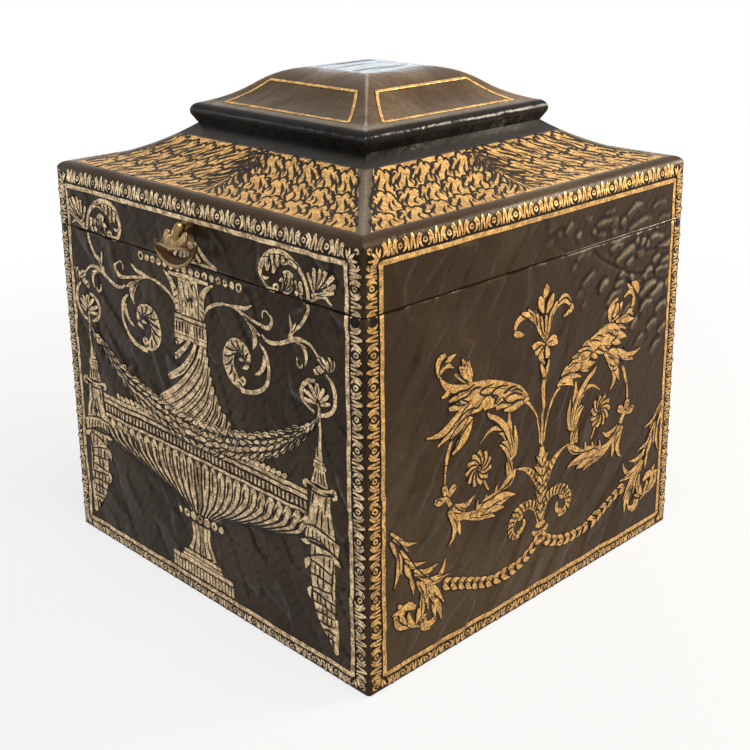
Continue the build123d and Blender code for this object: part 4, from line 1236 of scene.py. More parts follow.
def right_acanthus(sheet):
    """The scaled leaf on the right, with its stalk and its own scales, head and bud."""
    sheet.lapped((
        (((821, 850), (828, 800), (838, 760), (852, 728), (872, 696), (900, 676)),
         (4, 3.5, 3.5, 4.5, 5, 4)),
        (((880, 670), (920, 656), (1000, 618), (1080, 578), (1150, 552), (1200, 552)),
         (4, 14, 26, 32, 34, 20)),
        (((884, 668), (920, 662), (952, 670), (973, 694)), (5, 14, 15, 2)),
        (((900, 656), (950, 652), (990, 662), (1016, 673)), (5, 11, 9, 2)),
        (((908, 642), (928, 626), (946, 615)), (3, 10, 4)),
        (((956, 640), (992, 632), (1016, 630)), (8, 13, 5)),
        (((1008, 640), (1036, 650), (1057, 664)), (7, 11, 2)),
        (((1016, 640), (1056, 638), (1094, 641)), (8, 13, 2)),
        (((946, 616), (990, 602), (1046, 611)), (3, 10, 4)),
        (((964, 592), (1010, 590), (1050, 600), (1078, 608)), (3, 9, 11, 4)),
        (((996, 576), (1040, 580), (1098, 594)), (3, 10, 5)),
        (((1064, 604), (1088, 617), (1104, 627)), (5, 10, 2)),
        (((1018, 562), (1060, 558), (1120, 578)), (3, 10, 6)),
        (((1110, 562), (1150, 574), (1190, 586), (1212, 600)), (10, 20, 18, 9)),
        (((1062, 549), (1110, 540), (1160, 530), (1200, 540), (1222, 556)), (3, 8, 12, 12, 7)),
        (((1118, 592), (1150, 605), (1182, 612)), (8, 13, 4)),
        (((1096, 600), (1120, 610), (1144, 621)), (5, 9, 2)),
        (((1188, 552), (1228, 547), (1266, 560)), (8, 12, 2)),
        (((1198, 572), (1238, 579), (1276, 594)), (12, 15, 2)),
        (((1186, 592), (1218, 600), (1240, 610)), (8, 14, 3)),
        (((1170, 618), (1220, 640), (1264, 658), (1310, 668), (1362, 659)), (8, 18, 15, 10, 2)),
        (((1240, 660), (1288, 675), (1324, 692)), (9, 12, 2)),
        (((1148, 624), (1180, 660), (1208, 700), (1211, 738), (1188, 770)), (5, 14, 16, 10, 2)),
        (((1210, 688), (1226, 716), (1237, 746)), (12, 11, 2)),
        (((1160, 620), (1200, 642), (1232, 684)), (8, 17, 8)),
        (((1208, 522), (1250, 520), (1288, 502), (1307, 476), (1300, 456)), (5, 12, 13, 9, 3)),
        (((1230, 524), (1274, 530), (1314, 535)), (6, 12, 2)),
        (((1264, 504), (1292, 508), (1308, 520)), (6, 9, 3)),
        (((1314, 468), (1309, 442), (1288, 429), (1250, 442)), (6, 10, 9, 2)),
        (((1332, 446), (1323, 416), (1288, 396)), (5, 15, 4)),
        (((1302, 424), (1284, 410), (1270, 400)), (9, 10, 3)),
        (((1174, 517), (1168, 482), (1186, 454), (1212, 438)), (4, 14, 16, 4)),
        (((1190, 502), (1206, 480), (1212, 454)), (8, 13, 5)),
        (((1186, 516), (1218, 498), (1231, 474), (1242, 457)), (3, 9, 9, 3))))
    sheet.cuts((
        ((900, 644), (940, 642), (972, 644)), ((948, 620), (966, 612), (1006, 621)),
        ((966, 599), (1010, 600), (1040, 612)), ((996, 588), (1040, 584), (1076, 598)),
        ((1024, 568), (1044, 570), (1064, 576)), ((1060, 559), (1084, 558), (1124, 573)),
        ((1096, 543), (1120, 551), (1144, 562)),
        ((1142, 552), (1168, 552), (1192, 568), (1216, 578)),
        ((1180, 592), (1200, 585), (1222, 572)),
        ((1180, 592), (1196, 606), (1222, 614), (1246, 612)),
        ((1210, 536), (1236, 534), (1254, 548)),
        ((1150, 598), (1168, 612), (1204, 612), (1232, 644)),
        ((1082, 599), (1104, 595), (1122, 584)), ((1100, 596), (1120, 603), (1142, 617)),
        ((1000, 652), (1012, 638), (1018, 626)), ((980, 650), (992, 650), (1004, 650)),
        ((1054, 614), (1062, 607), (1074, 602)), ((1064, 620), (1080, 630), (1102, 633)),
        ((1168, 640), (1188, 651), (1208, 662)), ((1220, 646), (1240, 662), (1260, 684)),
        ((1264, 630), (1278, 648), (1298, 656)), ((1300, 424), (1315, 440), (1321, 462)),
        ((1286, 398), (1291, 406), (1300, 412)), ((1210, 478), (1207, 496), (1192, 510)),
        ((1222, 466), (1227, 486), (1218, 500)), ((1282, 490), (1296, 490), (1308, 494)),
        ((1270, 512), (1284, 512), (1304, 524)), ((1176, 668), (1190, 680), (1216, 690)),
        ((1196, 700), (1212, 704), (1226, 698)), ((1286, 672), (1300, 676), (1312, 674)),
        ((1190, 542), (1204, 552), (1222, 556)), ((908, 664), (916, 670), (930, 672)),
        ((1196, 456), (1206, 450), (1214, 456)), ((1230, 552), (1240, 556), (1254, 560))), 2.8)


def scroll_ring(sheet):
    """Stem, knot, and the leafy ring round the rosette."""
    sheet.lapped((
        (((364, 700), (348, 738), (336, 772)), (6, 7, 5)),
        (((334, 776), (329, 804), (328, 832)), (3.5, 3, 4)),
        (((336, 872), (328, 852), (325, 838)), (9, 14, 8)),
        (((328, 886), (304, 886), (284, 878)), (9, 14, 8)),
        (((346, 880), (364, 866), (380, 856)), (9, 15, 12)),
        (((344, 892), (358, 914), (370, 934)), (8, 8, 13)),
        (((352, 934), (374, 976), (380, 1010), (370, 1036), (350, 1054)), (9, 15, 10, 7, 2)),
        (((376, 958), (396, 1000), (408, 1036)), (15, 13, 3)),
        (((366, 932), (396, 966), (426, 978), (484, 984)), (10, 16, 12, 7)),
        (((376, 926), (408, 946), (440, 942), (470, 922)), (8, 18, 10, 2)),
        (((420, 984), (480, 1006), (540, 1018), (574, 1034)), (4, 8, 10, 2)),
        (((456, 990), (530, 1006), (580, 1008), (614, 1014)), (5, 12, 12, 3)),
        (((474, 986), (560, 994), (600, 990), (644, 990)), (7, 15, 13, 3)),
        (((490, 972), (560, 978), (620, 976), (674, 990)), (8, 15, 14, 2)),
        (((510, 966), (566, 960), (612, 956)), (8, 14, 7)),
        (((486, 978), (488, 944)), (7, 2)),
        (((532, 964), (531, 940)), (8, 2)),
        (((572, 958), (578, 924)), (9, 3)),
        (((596, 950), (636, 936), (660, 916), (678, 903)), (5, 17, 13, 3)),
        (((650, 908), (649, 884), (641, 860), (630, 830), (608, 802), (588, 786)),
         (10, 11, 11, 8, 5, 2)),
        (((634, 906), (628, 884), (622, 858)), (7, 6, 2)),
        (((644, 856), (660, 848), (672, 836)), (8, 10, 6)),
        (((652, 842), (640, 812), (622, 790), (598, 780)), (9, 11, 8, 2)),
        (((654, 840), (636, 792), (612, 758), (586, 746)), (8, 14, 9, 2)),
        (((656, 838), (640, 782), (620, 742), (598, 714), (568, 688), (540, 672), (526, 656)),
         (7, 13, 13, 11, 9, 7, 2)),
        (((662, 838), (648, 782), (636, 732), (634, 684)), (7, 13, 12, 3)),
        (((666, 842), (670, 800), (664, 742)), (8, 10, 3)),
        (((614, 738), (576, 724), (548, 722), (496, 752)), (9, 8, 6, 2)),
        (((512, 878), (524, 904), (538, 926)), (4, 5, 3))), skip=1)
    sheet.bead(336, 888, 10)
    sheet.cuts((
        ((288, 884), (302, 876), (318, 888)), ((316, 862), (328, 850), (338, 866)),
        ((352, 932), (366, 922), (382, 922)), ((352, 944), (378, 950), (404, 962)),
        ((366, 960), (384, 984), (392, 1010)), ((382, 928), (394, 944), (420, 958)),
        ((484, 988), (520, 966), (562, 968)), ((500, 1004), (580, 988), (646, 986)),
        ((548, 968), (590, 958), (640, 962)), ((480, 1004), (540, 1012), (580, 1020)),
        ((600, 952), (634, 944), (660, 926)), ((656, 900), (642, 870), (630, 840)),
        ((648, 838), (630, 786), (606, 744), (574, 712), (548, 690)),
        ((658, 836), (644, 776), (634, 740)), ((660, 800), (656, 770), (654, 748)),
        ((644, 862), (662, 858), (674, 850)), ((404, 940), (430, 954), (446, 950)),
        ((364, 866), (374, 862), (382, 864))), 2.2)
    centre, petals = 490 + 835j, 11
    for k in range(petals):
        turn = np.exp(1j * (2 * pi * k / petals))
        sheet.stroke([centre + turn * np.exp(-1j * s) * (7 + 50 * s) for s in (0, 0.35, 0.7, 1)],
                     [2.5, 7, 11, 8])
        sheet.vein([centre + turn * np.exp(1j * (0.27 - s)) * (7 + 52 * s)
                    for s in (0, 0.35, 0.7, 1)], [1.5, 2.6, 3.2, 3.2])
    sheet.bead(490, 835, 8, eye=3)


def calyx(sheet):
    """Pointed calyx on the stem's foot, its hooks, horns and base."""
    sheet.stroke([(STEM - 4, 866), (STEM - 10, 920), (STEM - 12, 1000), (STEM - 10, 1080),
                  (STEM - 6, 1150)], [4, 16, 20, 18, 10])
    for y, wide, fat in ((906, 30, 9), (940, 38, 10), (974, 36, 10), (1008, 32, 10),
                         (1042, 30, 9.5), (1076, 26, 9), (1108, 22, 8.5)):
        sheet.leaf((STEM - 4, y + 30), (STEM - wide, y - 14), fat, bow=0.10, belly=0.5)
        sheet.vein([(STEM - 2, y + 34), (STEM - wide * 0.55, y + 16), (STEM - wide, y - 2)], 2.2)
    hook = Path([(796, 1040), (790, 1000), (774, 964), (748, 934), (716, 914), (682, 904)])
    combed(sheet, hook, [9, 12, 13, 12, 7, 2], count=6, lean=0.8, start=0.05, stop=0.7, fat=2.0)
    horn = Path([(802, 1134), (796, 1100), (776, 1070), (740, 1054), (700, 1060), (670, 1082),
                 (656, 1112), (662, 1140), (684, 1152), (712, 1160)])
    combed(sheet, horn, [9, 15, 17, 16, 20, 21, 18, 15, 12, 4],
           count=14, lean=0.9, start=0.06, stop=0.92, fat=2.2)
    leaves(sheet, (
        ((742, 1062), (730, 1034), 8, 0.0), ((676, 1078), (662, 1058), 8, 0.0),
        ((654, 1104), (642, 1086), 7, 0.0), ((690, 1092), (716, 1076), 8, 0.1)))
    sheet.stroke([(722, 1100), (726, 1120), (714, 1138), (694, 1144)], [4, 8, 9, 9])
    sheet.stroke([(770, 1166), (788, 1180), (STEM, 1184)], [6, 9, 9])
    sheet.stroke([(788, 1148), (STEM, 1158)], [6, 9])


def garland(sheet):
    """Husk garland, and the corner spray that it ends in."""
    rope = Path([(796, 1206), (752, 1236), (694, 1256), (626, 1264), (556, 1262), (496, 1244),
                 (430, 1216), (366, 1192), (306, 1172)])
    links = 14
    for k in range(links):
        t = (k + 0.3) / links
        back = -rope.along(t)
        root = rope.at(t)
        for way in (-1, 1):
            sheet.leaf(root, root + back * np.exp(1j * way * 0.50) * 36, 10,
                       bow=0.12 * way, belly=0.42, ends=(0.7, 0.15))
    leaves(sheet, (
        ((94, 910), (160, 966), 8, 0.06), ((130, 950), (208, 986), 6.5, 0.1),
        ((104, 934), (170, 1002), 8, -0.05), ((92, 940), (122, 1010), 8, -0.05),
        ((112, 976), (142, 1072), 12, -0.06), ((122, 1010), (110, 1104), 8, -0.1),
        ((136, 984), (186, 1044), 6, 0.04), ((156, 1026), (248, 1068), 7, 0.12),
        ((160, 1036), (218, 1082), 7, 0.03), ((156, 1042), (186, 1106), 11, 0.02),
        ((178, 1080), (190, 1158), 9.5, -0.04), ((196, 1078), (300, 1092), 9.5, 0.14),
        ((200, 1092), (272, 1128), 9, 0.04), ((220, 1112), (310, 1134), 9, 0.1),
        ((290, 1142), (335, 1088), 8.5, 0.16), ((236, 1132), (354, 1152), 11, 0.06),
        ((204, 1118), (236, 1190), 11, -0.08), ((226, 1170), (226, 1256), 12, -0.06),
        ((222, 1124), (256, 1238), 11, -0.07), ((246, 1146), (282, 1226), 13, -0.06),
        ((278, 1200), (288, 1284), 12, -0.05), ((258, 1148), (328, 1240), 12, -0.04),
        ((296, 1216), (314, 1294), 11, -0.04), ((198, 1204), (128, 1190), 15, 0.14),
        ((150, 1198), (122, 1162), 10, 0.0), ((152, 1206), (98, 1192), 9, 0.1),
        ((112, 1200), (170, 1266), 13, 0.16), ((136, 1204), (166, 1252), 11, 0.1),
        ((168, 1212), (214, 1278), 14, 0.18), ((214, 1216), (200, 1264), 11, -0.12),
        ((218, 1262), (250, 1248), 7, -0.1)))
    sheet.stroke([(292, 1278), (268, 1291), (246, 1280), (248, 1262)], [8, 9, 8, 4])
    sheet.stroke([(226, 1270), (238, 1296), (264, 1306)], [7, 9, 4])
    sheet.cuts((
        ((100, 924), (136, 966), (172, 1020), (210, 1076), (256, 1126), (300, 1166)),
        ((112, 960), (128, 1004), (134, 1060)), ((168, 1040), (184, 1080), (196, 1120)),
        ((206, 1100), (246, 1120), (300, 1130)), ((212, 1130), (236, 1180), (244, 1224)),
        ((240, 1146), (268, 1190), (286, 1240)), ((232, 1160), (228, 1210), (222, 1250)),
        ((168, 1206), (160, 1228), (178, 1256)), ((116, 1210), (140, 1236), (164, 1256)),
        ((252, 1142), (300, 1148), (340, 1152)), ((278, 1180), (304, 1216), (322, 1234))), 2.2)


def draw_scrollwork(sheet):
    """The whole side: what mirrors, then the leaves that differ, and the stem between them."""
    since = sheet.count()
    for part in (scroll_ring, calyx, garland):
        part(sheet)
    sheet.mirror(STEM, since)
    for part in (fleuron, left_branch, left_acanthus, right_acanthus):
        part(sheet)
    sheet.stroke([(STEM, 600), (STEM, 630), (STEM, 680), (STEM, 760), (STEM, 860)],
                 [11, 10, 8, 6, 5])
    sheet.bead(STEM, 1214, 15, fine=3)


# ---------------------------------------------------------------- hide over the boards
HIDE_CELLS, HIDE_ROW = 154, 2.0          # cells along a wall, and the height of a cell in mm
FINER = 1.45                             # how much finer the front and the right wall are
HIDE_GAP = 1.9                           # how far the hide stops short of the corners
HIDE_THICK, GOLD_THICK = 0.5, 0.3        # of the hide's sheets, and of the gold on the lid
LIT_REACH = 3.0                          # a crest is what stands out within this reach
BLACK_FROM = 145.5, 271.0, 11.5          # where the black under the border starts: side, top, foot


def set_wear_and_painted_light(piece, values):
    """Writes the attribute that the finishes colour by: on the hide, pale crests that are partly
    wear and partly painted highlight, and hollows painted near black as shade; on the brass,
    rubbed wear.
    """
    made = piece.data.attributes.new("wear_and_painted_light", 'FLOAT', 'POINT')
    made.data.foreach_set("value", values.astype(np.float32))


def backed(piece, thick):
    """Gives a sheet its thickness, inwards, and shades it smooth but for its edges."""
    modified(piece, 'SOLIDIFY', thickness=thick * MM, offset=-1)
    bpy.ops.object.shade_smooth_by_angle(angle=SHARP)


def hide(name, side, low, high, body):
    """One sheet of hammered hide on a wall, from low to high, with its edges tucked under."""
    finer = FINER if side < 2 else 1
    tall = int(max((high - low) / HIDE_ROW, 8) * finer)
    piece = new_grid(int(HIDE_CELLS * finer), tall)
    piece.name = name
    x, y, _ = points_of(piece).T
    row = np.rint((y + 1) / 2 * tall)
    u, v = x * (HALF - HIDE_GAP), low + row / tall * (high - low)
    v = np.where(row == 1, low + 0.6, np.where(row == tall - 1, high - 0.6, v))
    set_points(piece, turned(u, -(HALF + relief(u, v, side)), v, side))
    # Painted light: each crest, measured against what lies around it, is painted pale as a
    # highlight that is partly wear, more so towards the right wall's upper corner where the folds
    # catch the light; hollows are painted near black as shade, more deeply on the front.
    around = np.mean([hammered(u + LIT_REACH * cos(a), v + LIT_REACH * sin(a), side)
                      for a in np.arange(6) * pi / 3], axis=0)
    wear, black = (0.22 + 1.5 * towards_corner(u, v, 5, 70), 1.3) if side == 1 else (0.9, 2.4)
    wear_and_painted_light = (hammered(u, v, side) - around) * wear
    wear_and_painted_light = np.clip(np.where(wear_and_painted_light < 0, black * wear_and_painted_light, wear_and_painted_light), -1, 1)
    edge, top, foot = BLACK_FROM
    under = np.maximum.reduce([smooth(abs(u), edge, edge + 1.5), smooth(v, top, top + 1.5),
                               smooth(-v, -foot, 1.5 - foot)])
    set_wear_and_painted_light(piece, wear_and_painted_light * (1 - under) - under)
    backed(piece, HIDE_THICK)
    piece.data.materials.append(leather.mat)
    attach(piece, body)


for side, side_name in enumerate(SIDES):
    hide(f"{side_name}_hide", side, 0.9, SEAM - 0.5, "box")
    hide(f"{side_name}_lid_hide", side, SEAM + 0.5, RIM_TOP - 0.1, "lid")


def tool_wall(side, sheet):
    """The layers of a wall's tooling, parted at the seam: a near-black sheet round the gold, which
    paints the shade of its sunk groove, the gold, and the dark cuts in it. The gold of the front
    and back is paler than the sides'."""
    # Painted light: the front and back take the paler copy of the gilt, for the cooler light on
    # them.
    gold = gilt if side in (1, 3) else cool_lit_gilt
    for part, body, keep_low in (("body", "box", True), ("lid", "lid", False)):
        for kind, strokes, layer, finish in (("tooling", sheet.strokes, SHADE_UNDERLAY, black_for_shade_and_veins),
                                             ("gilding", sheet.strokes, GILDING, gold),
                                             ("veins", sheet.veins, VEINS, black_for_shade_and_veins)):
            kept = [m for m in strokes if (min(p.imag - w for p, w in m[0]) < SEAM if keep_low
                                           else max(p.imag + w for p, w in m[0]) > SEAM)]
            piece = tooled(f"{SIDES[side]}_{part}_{kind}", kept, layer, on_wall, side, finish,
                           body)
            trim(piece, keep_low)


def trim(piece, keep_low):
    """Cuts a piece off at the seam and closes the cut."""
    bpy.context.view_layer.objects.active = piece
    bpy.ops.object.mode_set(mode='EDIT')
    bpy.ops.mesh.select_all(action='SELECT')
    cut = SEAM + (-SEAM_CUT if keep_low else SEAM_CUT)
    bpy.ops.mesh.bisect(plane_co=(0, 0, cut * MM), plane_no=(0, 0, 1), use_fill=True,
                        clear_inner=not keep_low, clear_outer=keep_low)
    bpy.ops.object.mode_set(mode='OBJECT')
    bpy.ops.object.shade_smooth_by_angle(angle=SHARP)


for side, draw in enumerate((draw_urn, draw_scrollwork, draw_urn, draw_scrollwork)):
    sheet = Sheet()
    border(sheet)
    draw(sheet)
    tool_wall(side, sheet)

# a pale line along the lid's lower edge, widening towards the far end of the right wall: a painted
# highlight, standing in for the bright floor that the edge reflects
edge = Sheet()
edge.stroke([(860, 217), (1100, 217), (1300, 216.5), (1590, 216)], [0.5, 1.4, 2.4, 3.0])
tooled("right_lid_painted_highlight", edge.strokes, EDGE_HIGHLIGHT, on_wall, 1, painted_edge_highlight, "lid")


# ---------------------------------------------------------------- scaled panels of the lid
PANEL_FOOT, PANEL_TOP = 1.6, 60.0        # the gilt panel's reach up the hollow
PANEL_HALF = (145.0, 90.0)               # its half widths at those two heights
GROUND = 0.20                            # how far its gold stands over the leather
# corners of the gilt line on each slope of the cap
CAP_LINE = ((-63, 6.8), (-43.5, 36.8), (43.5, 36.8), (63, 6.8), (-63, 6.8))


def panel_edge(v):
    return np.interp(v, (PANEL_FOOT, PANEL_TOP), PANEL_HALF)


def gilt_ground(name, side):
    """The gold of one hollow panel: a thin sheet with a slightly wandering edge."""
    piece = new_grid(110, 26)
    piece.name = name
    x, y, _ = points_of(piece).T
    v = PANEL_FOOT + (y + 1) / 2 * (PANEL_TOP - PANEL_FOOT)
    wander = 0.35 * np.sin(0.55 * v + side) + 0.3 * np.sin(1.3 * v)
    u = x * (panel_edge(v) + wander)
    v = v + 0.3 * np.sin(0.31 * u + side) * np.abs(y)
    swell = 0.05 * np.sin(0.9 * u + 1.7 * np.sin(0.3 * v)) * np.sin(0.8 * v)
    set_points(piece, on_cove(u, v, GROUND + swell, side))
    backed(piece, GOLD_THICK)
    piece.data.materials.append(gilt.mat)
    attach(piece, "lid")


def draw_scales(sheet):
    """Dark veins of the panel: rows of slanting three-lobed scales and the feather between."""
    # foot, top, pitch, how far it is shifted along, and lean
    rows = ((1.6, 20.0, 22.0, 0.0, 0.45), (19.0, 38.5, 20.0, 0.5, 0.58),
            (37.5, 58.0, 18.0, 0.1, 0.70))
    # across, up and half width of the dark lines of one scale
    scale = (
        # outer flank, crown of three lobes, inner flank
        ((0.50, -0.02, 0.8), (0.43, 0.22, 1.0), (0.54, 0.44, 0.9), (0.44, 0.66, 1.15),
         (0.30, 0.80, 0.8)),
        ((0.46, 0.60, 0.6), (0.42, 0.84, 1.1), (0.26, 0.92, 1.0), (0.14, 0.82, 0.6)),
        ((0.16, 0.78, 0.6), (0.12, 1.00, 1.1), (-0.06, 1.07, 1.1), (-0.20, 0.88, 0.7)),
        ((-0.18, 0.84, 0.7), (-0.32, 0.93, 1.1), (-0.47, 0.78, 1.0), (-0.50, 0.54, 0.5)),
        # slits inside
        ((0.20, 0.10, 0.4), (0.22, 0.34, 1.15), (0.06, 0.60, 1.0), (-0.02, 0.76, 0.3)),
        ((-0.16, 0.02, 0.9), (-0.14, 0.26, 0.95), (-0.26, 0.50, 0.25)),
        ((0.44, 0.26, 0.9), (0.32, 0.40, 0.85), (0.30, 0.56, 0.25)),
        ((-0.44, 0.16, 0.35), (-0.38, 0.36, 0.9), (-0.42, 0.52, 0.3)))

    def vein(marks):
        inside = [(p, w) for p, w in marks
                  if PANEL_FOOT - 0.5 < p.imag < PANEL_TOP + 0.5
                  and abs(p.real) < panel_edge(p.imag) + 0.8]
        if len(inside) > 1:
            sheet.strokes.append((inside, False, 4, 0))

    for way in (-1, 1):
        for row, (low, high, pitch, shift, lean) in enumerate(rows):
            for k in range(-1, 9):
                middle = 5.0 + 3.0 * row + pitch * (k + 0.5 + shift + rng.normal(0, 0.03))
                tall = (high - low) * (1 + rng.normal(0, 0.04))
                if middle < 3 or middle - pitch > panel_edge(low):
                    continue

                def at(across, up):
                    across += rng.normal(0, 0.025)
                    up += rng.normal(0, 0.022)
                    out = middle + pitch * across - lean * tall * (up - 0.5)
                    return complex(way * out, low + tall * up)

                for line in scale:
                    vein([(at(across, up), w) for across, up, w in line])
        for k in range(12):
            top = 58 - 4.9 * k
            reach = 10 + 6 * sin(k * 2.1) ** 2 + 0.35 * k
            vein([(complex(way * (0.9 + 0.02 * k), top), 0.5),
                  (complex(way * 3.0, top - 5.0), 0.95),
                  (complex(way * (0.45 * reach + 2), top - 10.5), 1.1),
                  (complex(way * reach, top - 15), 0.4)])
    vein([(complex(0.3 * sin(v), v), w) for v, w in ((57, 0.8), (50, 0.5), (42, 0.4),
                                                     (34, 0.25))])


def on_ground(u, v, h, side):
    """A place over the gold of a hollow panel."""
    return on_cove(u, v, h + GROUND, side)


for side, side_name in enumerate(SIDES):
    gilt_ground(f"{side_name}_cove_gilding", side)
    scales = Sheet()
    draw_scales(scales)
    tooled(f"{side_name}_cove_veins", scales.strokes, SCALES, on_ground, side, black_for_shade_and_veins, "lid")
    line = Sheet(0, 0)
    for (u0, v0), (u1, v1) in zip(CAP_LINE, CAP_LINE[1:]):
        line.stroke([(PER_MM * (u0 + (u1 - u0) * t), -PER_MM * (v0 + (v1 - v0) * t))
                     for t in (-0.006, 0.25, 0.5, 0.75, 1.006)], 6.0, fine=10)
    # The underlay paints the shade round the cap's gilt line.
    for kind, layer, finish in (("tooling", SHADE_UNDERLAY, black_for_shade_and_veins), ("gilding", GILDING, gilt)):
        tooled(f"{side_name}_cap_{kind}", line.strokes, layer, on_cap, side, finish, "lid")


# ---------------------------------------------------------------- cast brass pull
PIVOT = (0.0, -164.6, 266.5)
ASKEW = radians(3.2)                     # how far the drop hangs turned to one side


def cast_rod(points, radii):
    """A rod of changing thickness through points."""
    piece = new_curve("rod", '3D')
    curve = piece.data
    curve.bevel_depth, curve.bevel_resolution = 1.0, 3
    curve.use_fill_caps = True
    smooth_line(curve, points, radii).resolution_u = 6
    bpy.ops.object.convert(target='MESH')
    return bpy.context.object


def cast_wall(rows, thick):
    """A wall that runs from one row of points to the other."""
    piece = new_grid(48, 10)
    x, y, _ = ((points_of(piece) + 1) / 2).T
    low, high = (np.stack([np.interp(x, np.linspace(0, 1, len(row)), k) for k in zip(*row)], 1)
                 for row in rows)
    set_points(piece, low * (1 - y[:, None]) + high * y[:, None])
    modified(piece, 'SOLIDIFY', thickness=thick, offset=0)
    return piece


def both_ways(half):
    """Half a line of (sideways, outwards, upwards) points that ends in the middle, and the other
    half, from left to right."""
    return [(-s, out, z) for s, out, z in half] + half[-2::-1]


def cast_drop():
    """The drop of the pull: horned crescent, pierced slot, cupped brow with ears, and tongue."""
    foot = both_ways([(22.8, 6.6, -6.6), (20.2, 8.0, -12.8), (14.5, 8.8, -18.0), (8, 9.2, -21.0),
                      (0, 9.2, -22.2)])
    back = both_ways([(15.0, 5.6, -9.8), (13.6, 5.4, -12.6), (10.4, 5.2, -15.2), (6, 5.0, -16.8),
                      (0, 5.0, -17.4)])
    lip = both_ways([(22.8, 6.6, -6.6), (18.2, 8.2, -9.8), (13.6, 9.0, -9.6), (7, 10.2, -10.0),
                     (0, 10.6, -10.6)])
    brow = both_ways([(13.4, 8.6, -9.2), (11.6, 6.6, -4.2), (10.6, 5.6, -0.9), (8.4, 5.6, -0.9),
                      (6.0, 7.0, -4.6), (0, 8.4, -6.2)])
    cup = both_ways([(11.4, 6.4, -8.4), (9.0, 4.4, -6.4), (7.6, 3.0, -4.6), (5.8, 3.2, -4.2),
                     (3.6, 3.6, -4.8), (0, 4.0, -5.6)])
    tongue = [(0, 1.0, 3.4), (0, 2.4, 1.8), (0, 4.6, -1.2), (0, 6.2, -4.4), (0, 7.6, -6)]
    barrel = [(-3.65, 0, 0), (3.65, 0, 0)]
    heel = [(0, -0.6, -2.6), (0, 0.6, -4.6), (0, 4, -6.2)]
    drop = joined([
        cast_rod(foot, (0.8, 1.2, 1.35, 1.4, 1.4, 1.4, 1.35, 1.2, 0.8)),
        cast_rod(lip, (0.8, 1.1, 1.1, 1.15, 1.2, 1.15, 1.1, 1.1, 0.8)),
        cast_rod(brow, (0.9, 0.95, 1.0, 1.0, 0.95, 0.95, 0.95, 1.0, 1.0, 0.95, 0.9)),
        cast_rod(tongue, (2.9, 4.0, 4.2, 3.6, 1.8)),
        cast_rod(barrel, (2.35, 2.35)),
        cast_rod(heel, (2.2, 1.9, 1.5)),
        cast_wall((foot, back), 1.3), cast_wall((lip[1:-1], brow), 1.1),
        cast_wall((brow, cup), 1.1)])
    drop.name = "cast_drop"
    modified(drop, 'REMESH', mode='VOXEL', voxel_size=0.36)
    modified(drop, 'SMOOTH', factor=0.5, iterations=4)
    s, out, z = points_of(drop).T
    # how far out the casting reaches at each height: what is near that is rubbed bright
    rim = np.interp(-z, (-6, 1.5, 5, 8.3, 15, 23), (3.2, 5.0, 9.0, 11.2, 10.6, 10.6))
    set_wear_and_painted_light(drop, 1 - smooth(rim - out, 0.2, 2.4))
    askew = ASKEW * smooth(np.hypot(s, z), 4, 10)
    s, z = s * np.cos(askew) - z * np.sin(askew), z * np.cos(askew) + s * np.sin(askew)
    set_points(drop, np.stack([PIVOT[0] + s, PIVOT[1] - out, PIVOT[2] + z], 1) * MM)
    bpy.ops.object.shade_smooth()
    drop.data.materials.clear()
    drop.data.materials.append(cast_brass.mat)
    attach(drop, "pull")
    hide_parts("pull_drop")


cast_drop()


# ---------------------------------------------------------------- stage
EYE = Vector((0.6361, -0.6134, 0.4661))
AIM = Vector((-0.0346, 0.0383, 0.2009))
TILT = -0.0111                           # turn about the line of sight
LENS, SHIFT = 60.09, -0.16               # millimetres, and a share of the picture downwards

camera_data = bpy.data.cameras.new("camera")
camera = bpy.data.objects.new("camera", camera_data)
scene.collection.objects.link(camera)
camera.location = EYE
camera.rotation_mode = 'QUATERNION'
camera.rotation_quaternion = ((AIM - EYE).to_track_quat('-Z', 'Y')
                              @ Quaternion((0, 0, 1), TILT))
camera_data.sensor_width = 36
camera_data.lens = LENS
camera_data.shift_y = SHIFT
scene.camera = camera

bpy.ops.object.select_all(action='DESELECT')
bpy.ops.mesh.primitive_plane_add(size=30)
floor = bpy.context.object
floor.name = "floor"
paper = Finish("pale_floor")
paper.set(Base_Color=(0.50, 0.50, 0.50), Roughness=0.95, Specular_IOR_Level=0.1)
floor.data.materials.append(paper.mat)


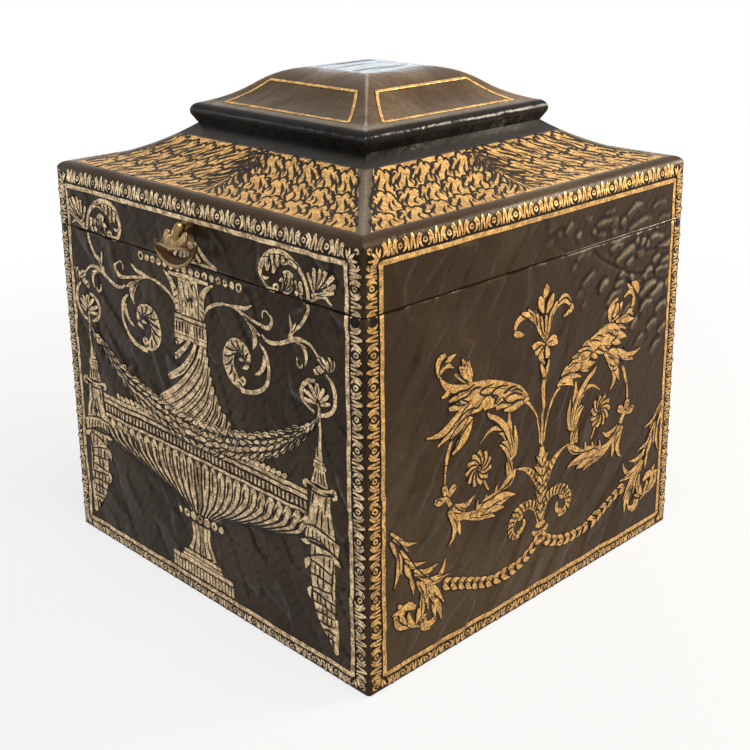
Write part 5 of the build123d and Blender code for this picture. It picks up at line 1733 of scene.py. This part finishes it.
def seen_rays(tree):
    """1 for the rays that show the background: seen straight, reflected or through glass."""
    path = tree.nodes.new('ShaderNodeLightPath')
    total = path.outputs['Is Camera Ray']
    for other in ('Is Glossy Ray', 'Is Transmission Ray'):
        most = tree.nodes.new('ShaderNodeMath')
        most.operation = 'MAXIMUM'
        tree.links.new(total, most.inputs[0])
        tree.links.new(path.outputs[other], most.inputs[1])
        total = most.outputs[0]
    return total


# the floor turns into the white backdrop with the distance from the box
away = paper.node('VectorMath', {0: paper.coord}, 1, operation='LENGTH')
white = paper.node('Emission', {'Color': (1, 1, 1, 1), 'Strength': 1.0})
far_white = paper.sums(paper.span(away, 0.30, 0.95, 0.78, 1.0), seen_rays(paper.tree), 'MULTIPLY')
blend = paper.node('MixShader', {0: far_white, 1: paper.shader.outputs[0], 2: white})
paper.plug(blend, paper.tree.nodes["Material Output"].inputs['Surface'])

world = bpy.data.worlds.new("studio")
scene.world = world
world.use_nodes = True
sky = world.node_tree.nodes["Background"]
sky.inputs["Color"].default_value = (1, 1, 1, 1)
level = world.node_tree.nodes.new('ShaderNodeMapRange')
world.node_tree.links.new(seen_rays(world.node_tree), level.inputs['Value'])
level.inputs['To Min'].default_value = 0.30        # the light that the backdrop throws
level.inputs['To Max'].default_value = 1.0         # the white that is seen
world.node_tree.links.new(level.outputs[0], sky.inputs['Strength'])


def lamp(name, where, towards, size, power, colour):
    """A rectangular light that isn't itself seen."""
    data = bpy.data.lights.new(name, 'AREA')
    data.shape = 'RECTANGLE'
    data.size, data.size_y = size
    data.energy = power
    data.color = colour
    made = bpy.data.objects.new(name, data)
    scene.collection.objects.link(made)
    made.location = where
    made.rotation_mode = 'QUATERNION'
    made.rotation_quaternion = (Vector(towards) - Vector(where)).to_track_quat('-Z', 'Y')
    made.visible_camera = False


lamp("window", (0.78, 1.0, 0.66), (0, 0.05, 0.2), (0.35, 0.35), 20, (1, 0.86, 0.68))
lamp("side", (-1.5, -1.3, 0.55), (0, 0, 0.15), (0.5, 0.6), 3, (0.86, 0.94, 1))
lamp("skylight", (-1.9, 1.9, 0.75), (0, 0, 0.35), (1.6, 0.7), 4.4, (0.62, 0.82, 1))
lamp("ceiling", (0.5, -0.2, 2.0), (0, 0, 0.2), (0.8, 0.8), 38, (1, 0.95, 0.87))

for profile in CROWNED + FLAT:
    bpy.data.objects.remove(profile)
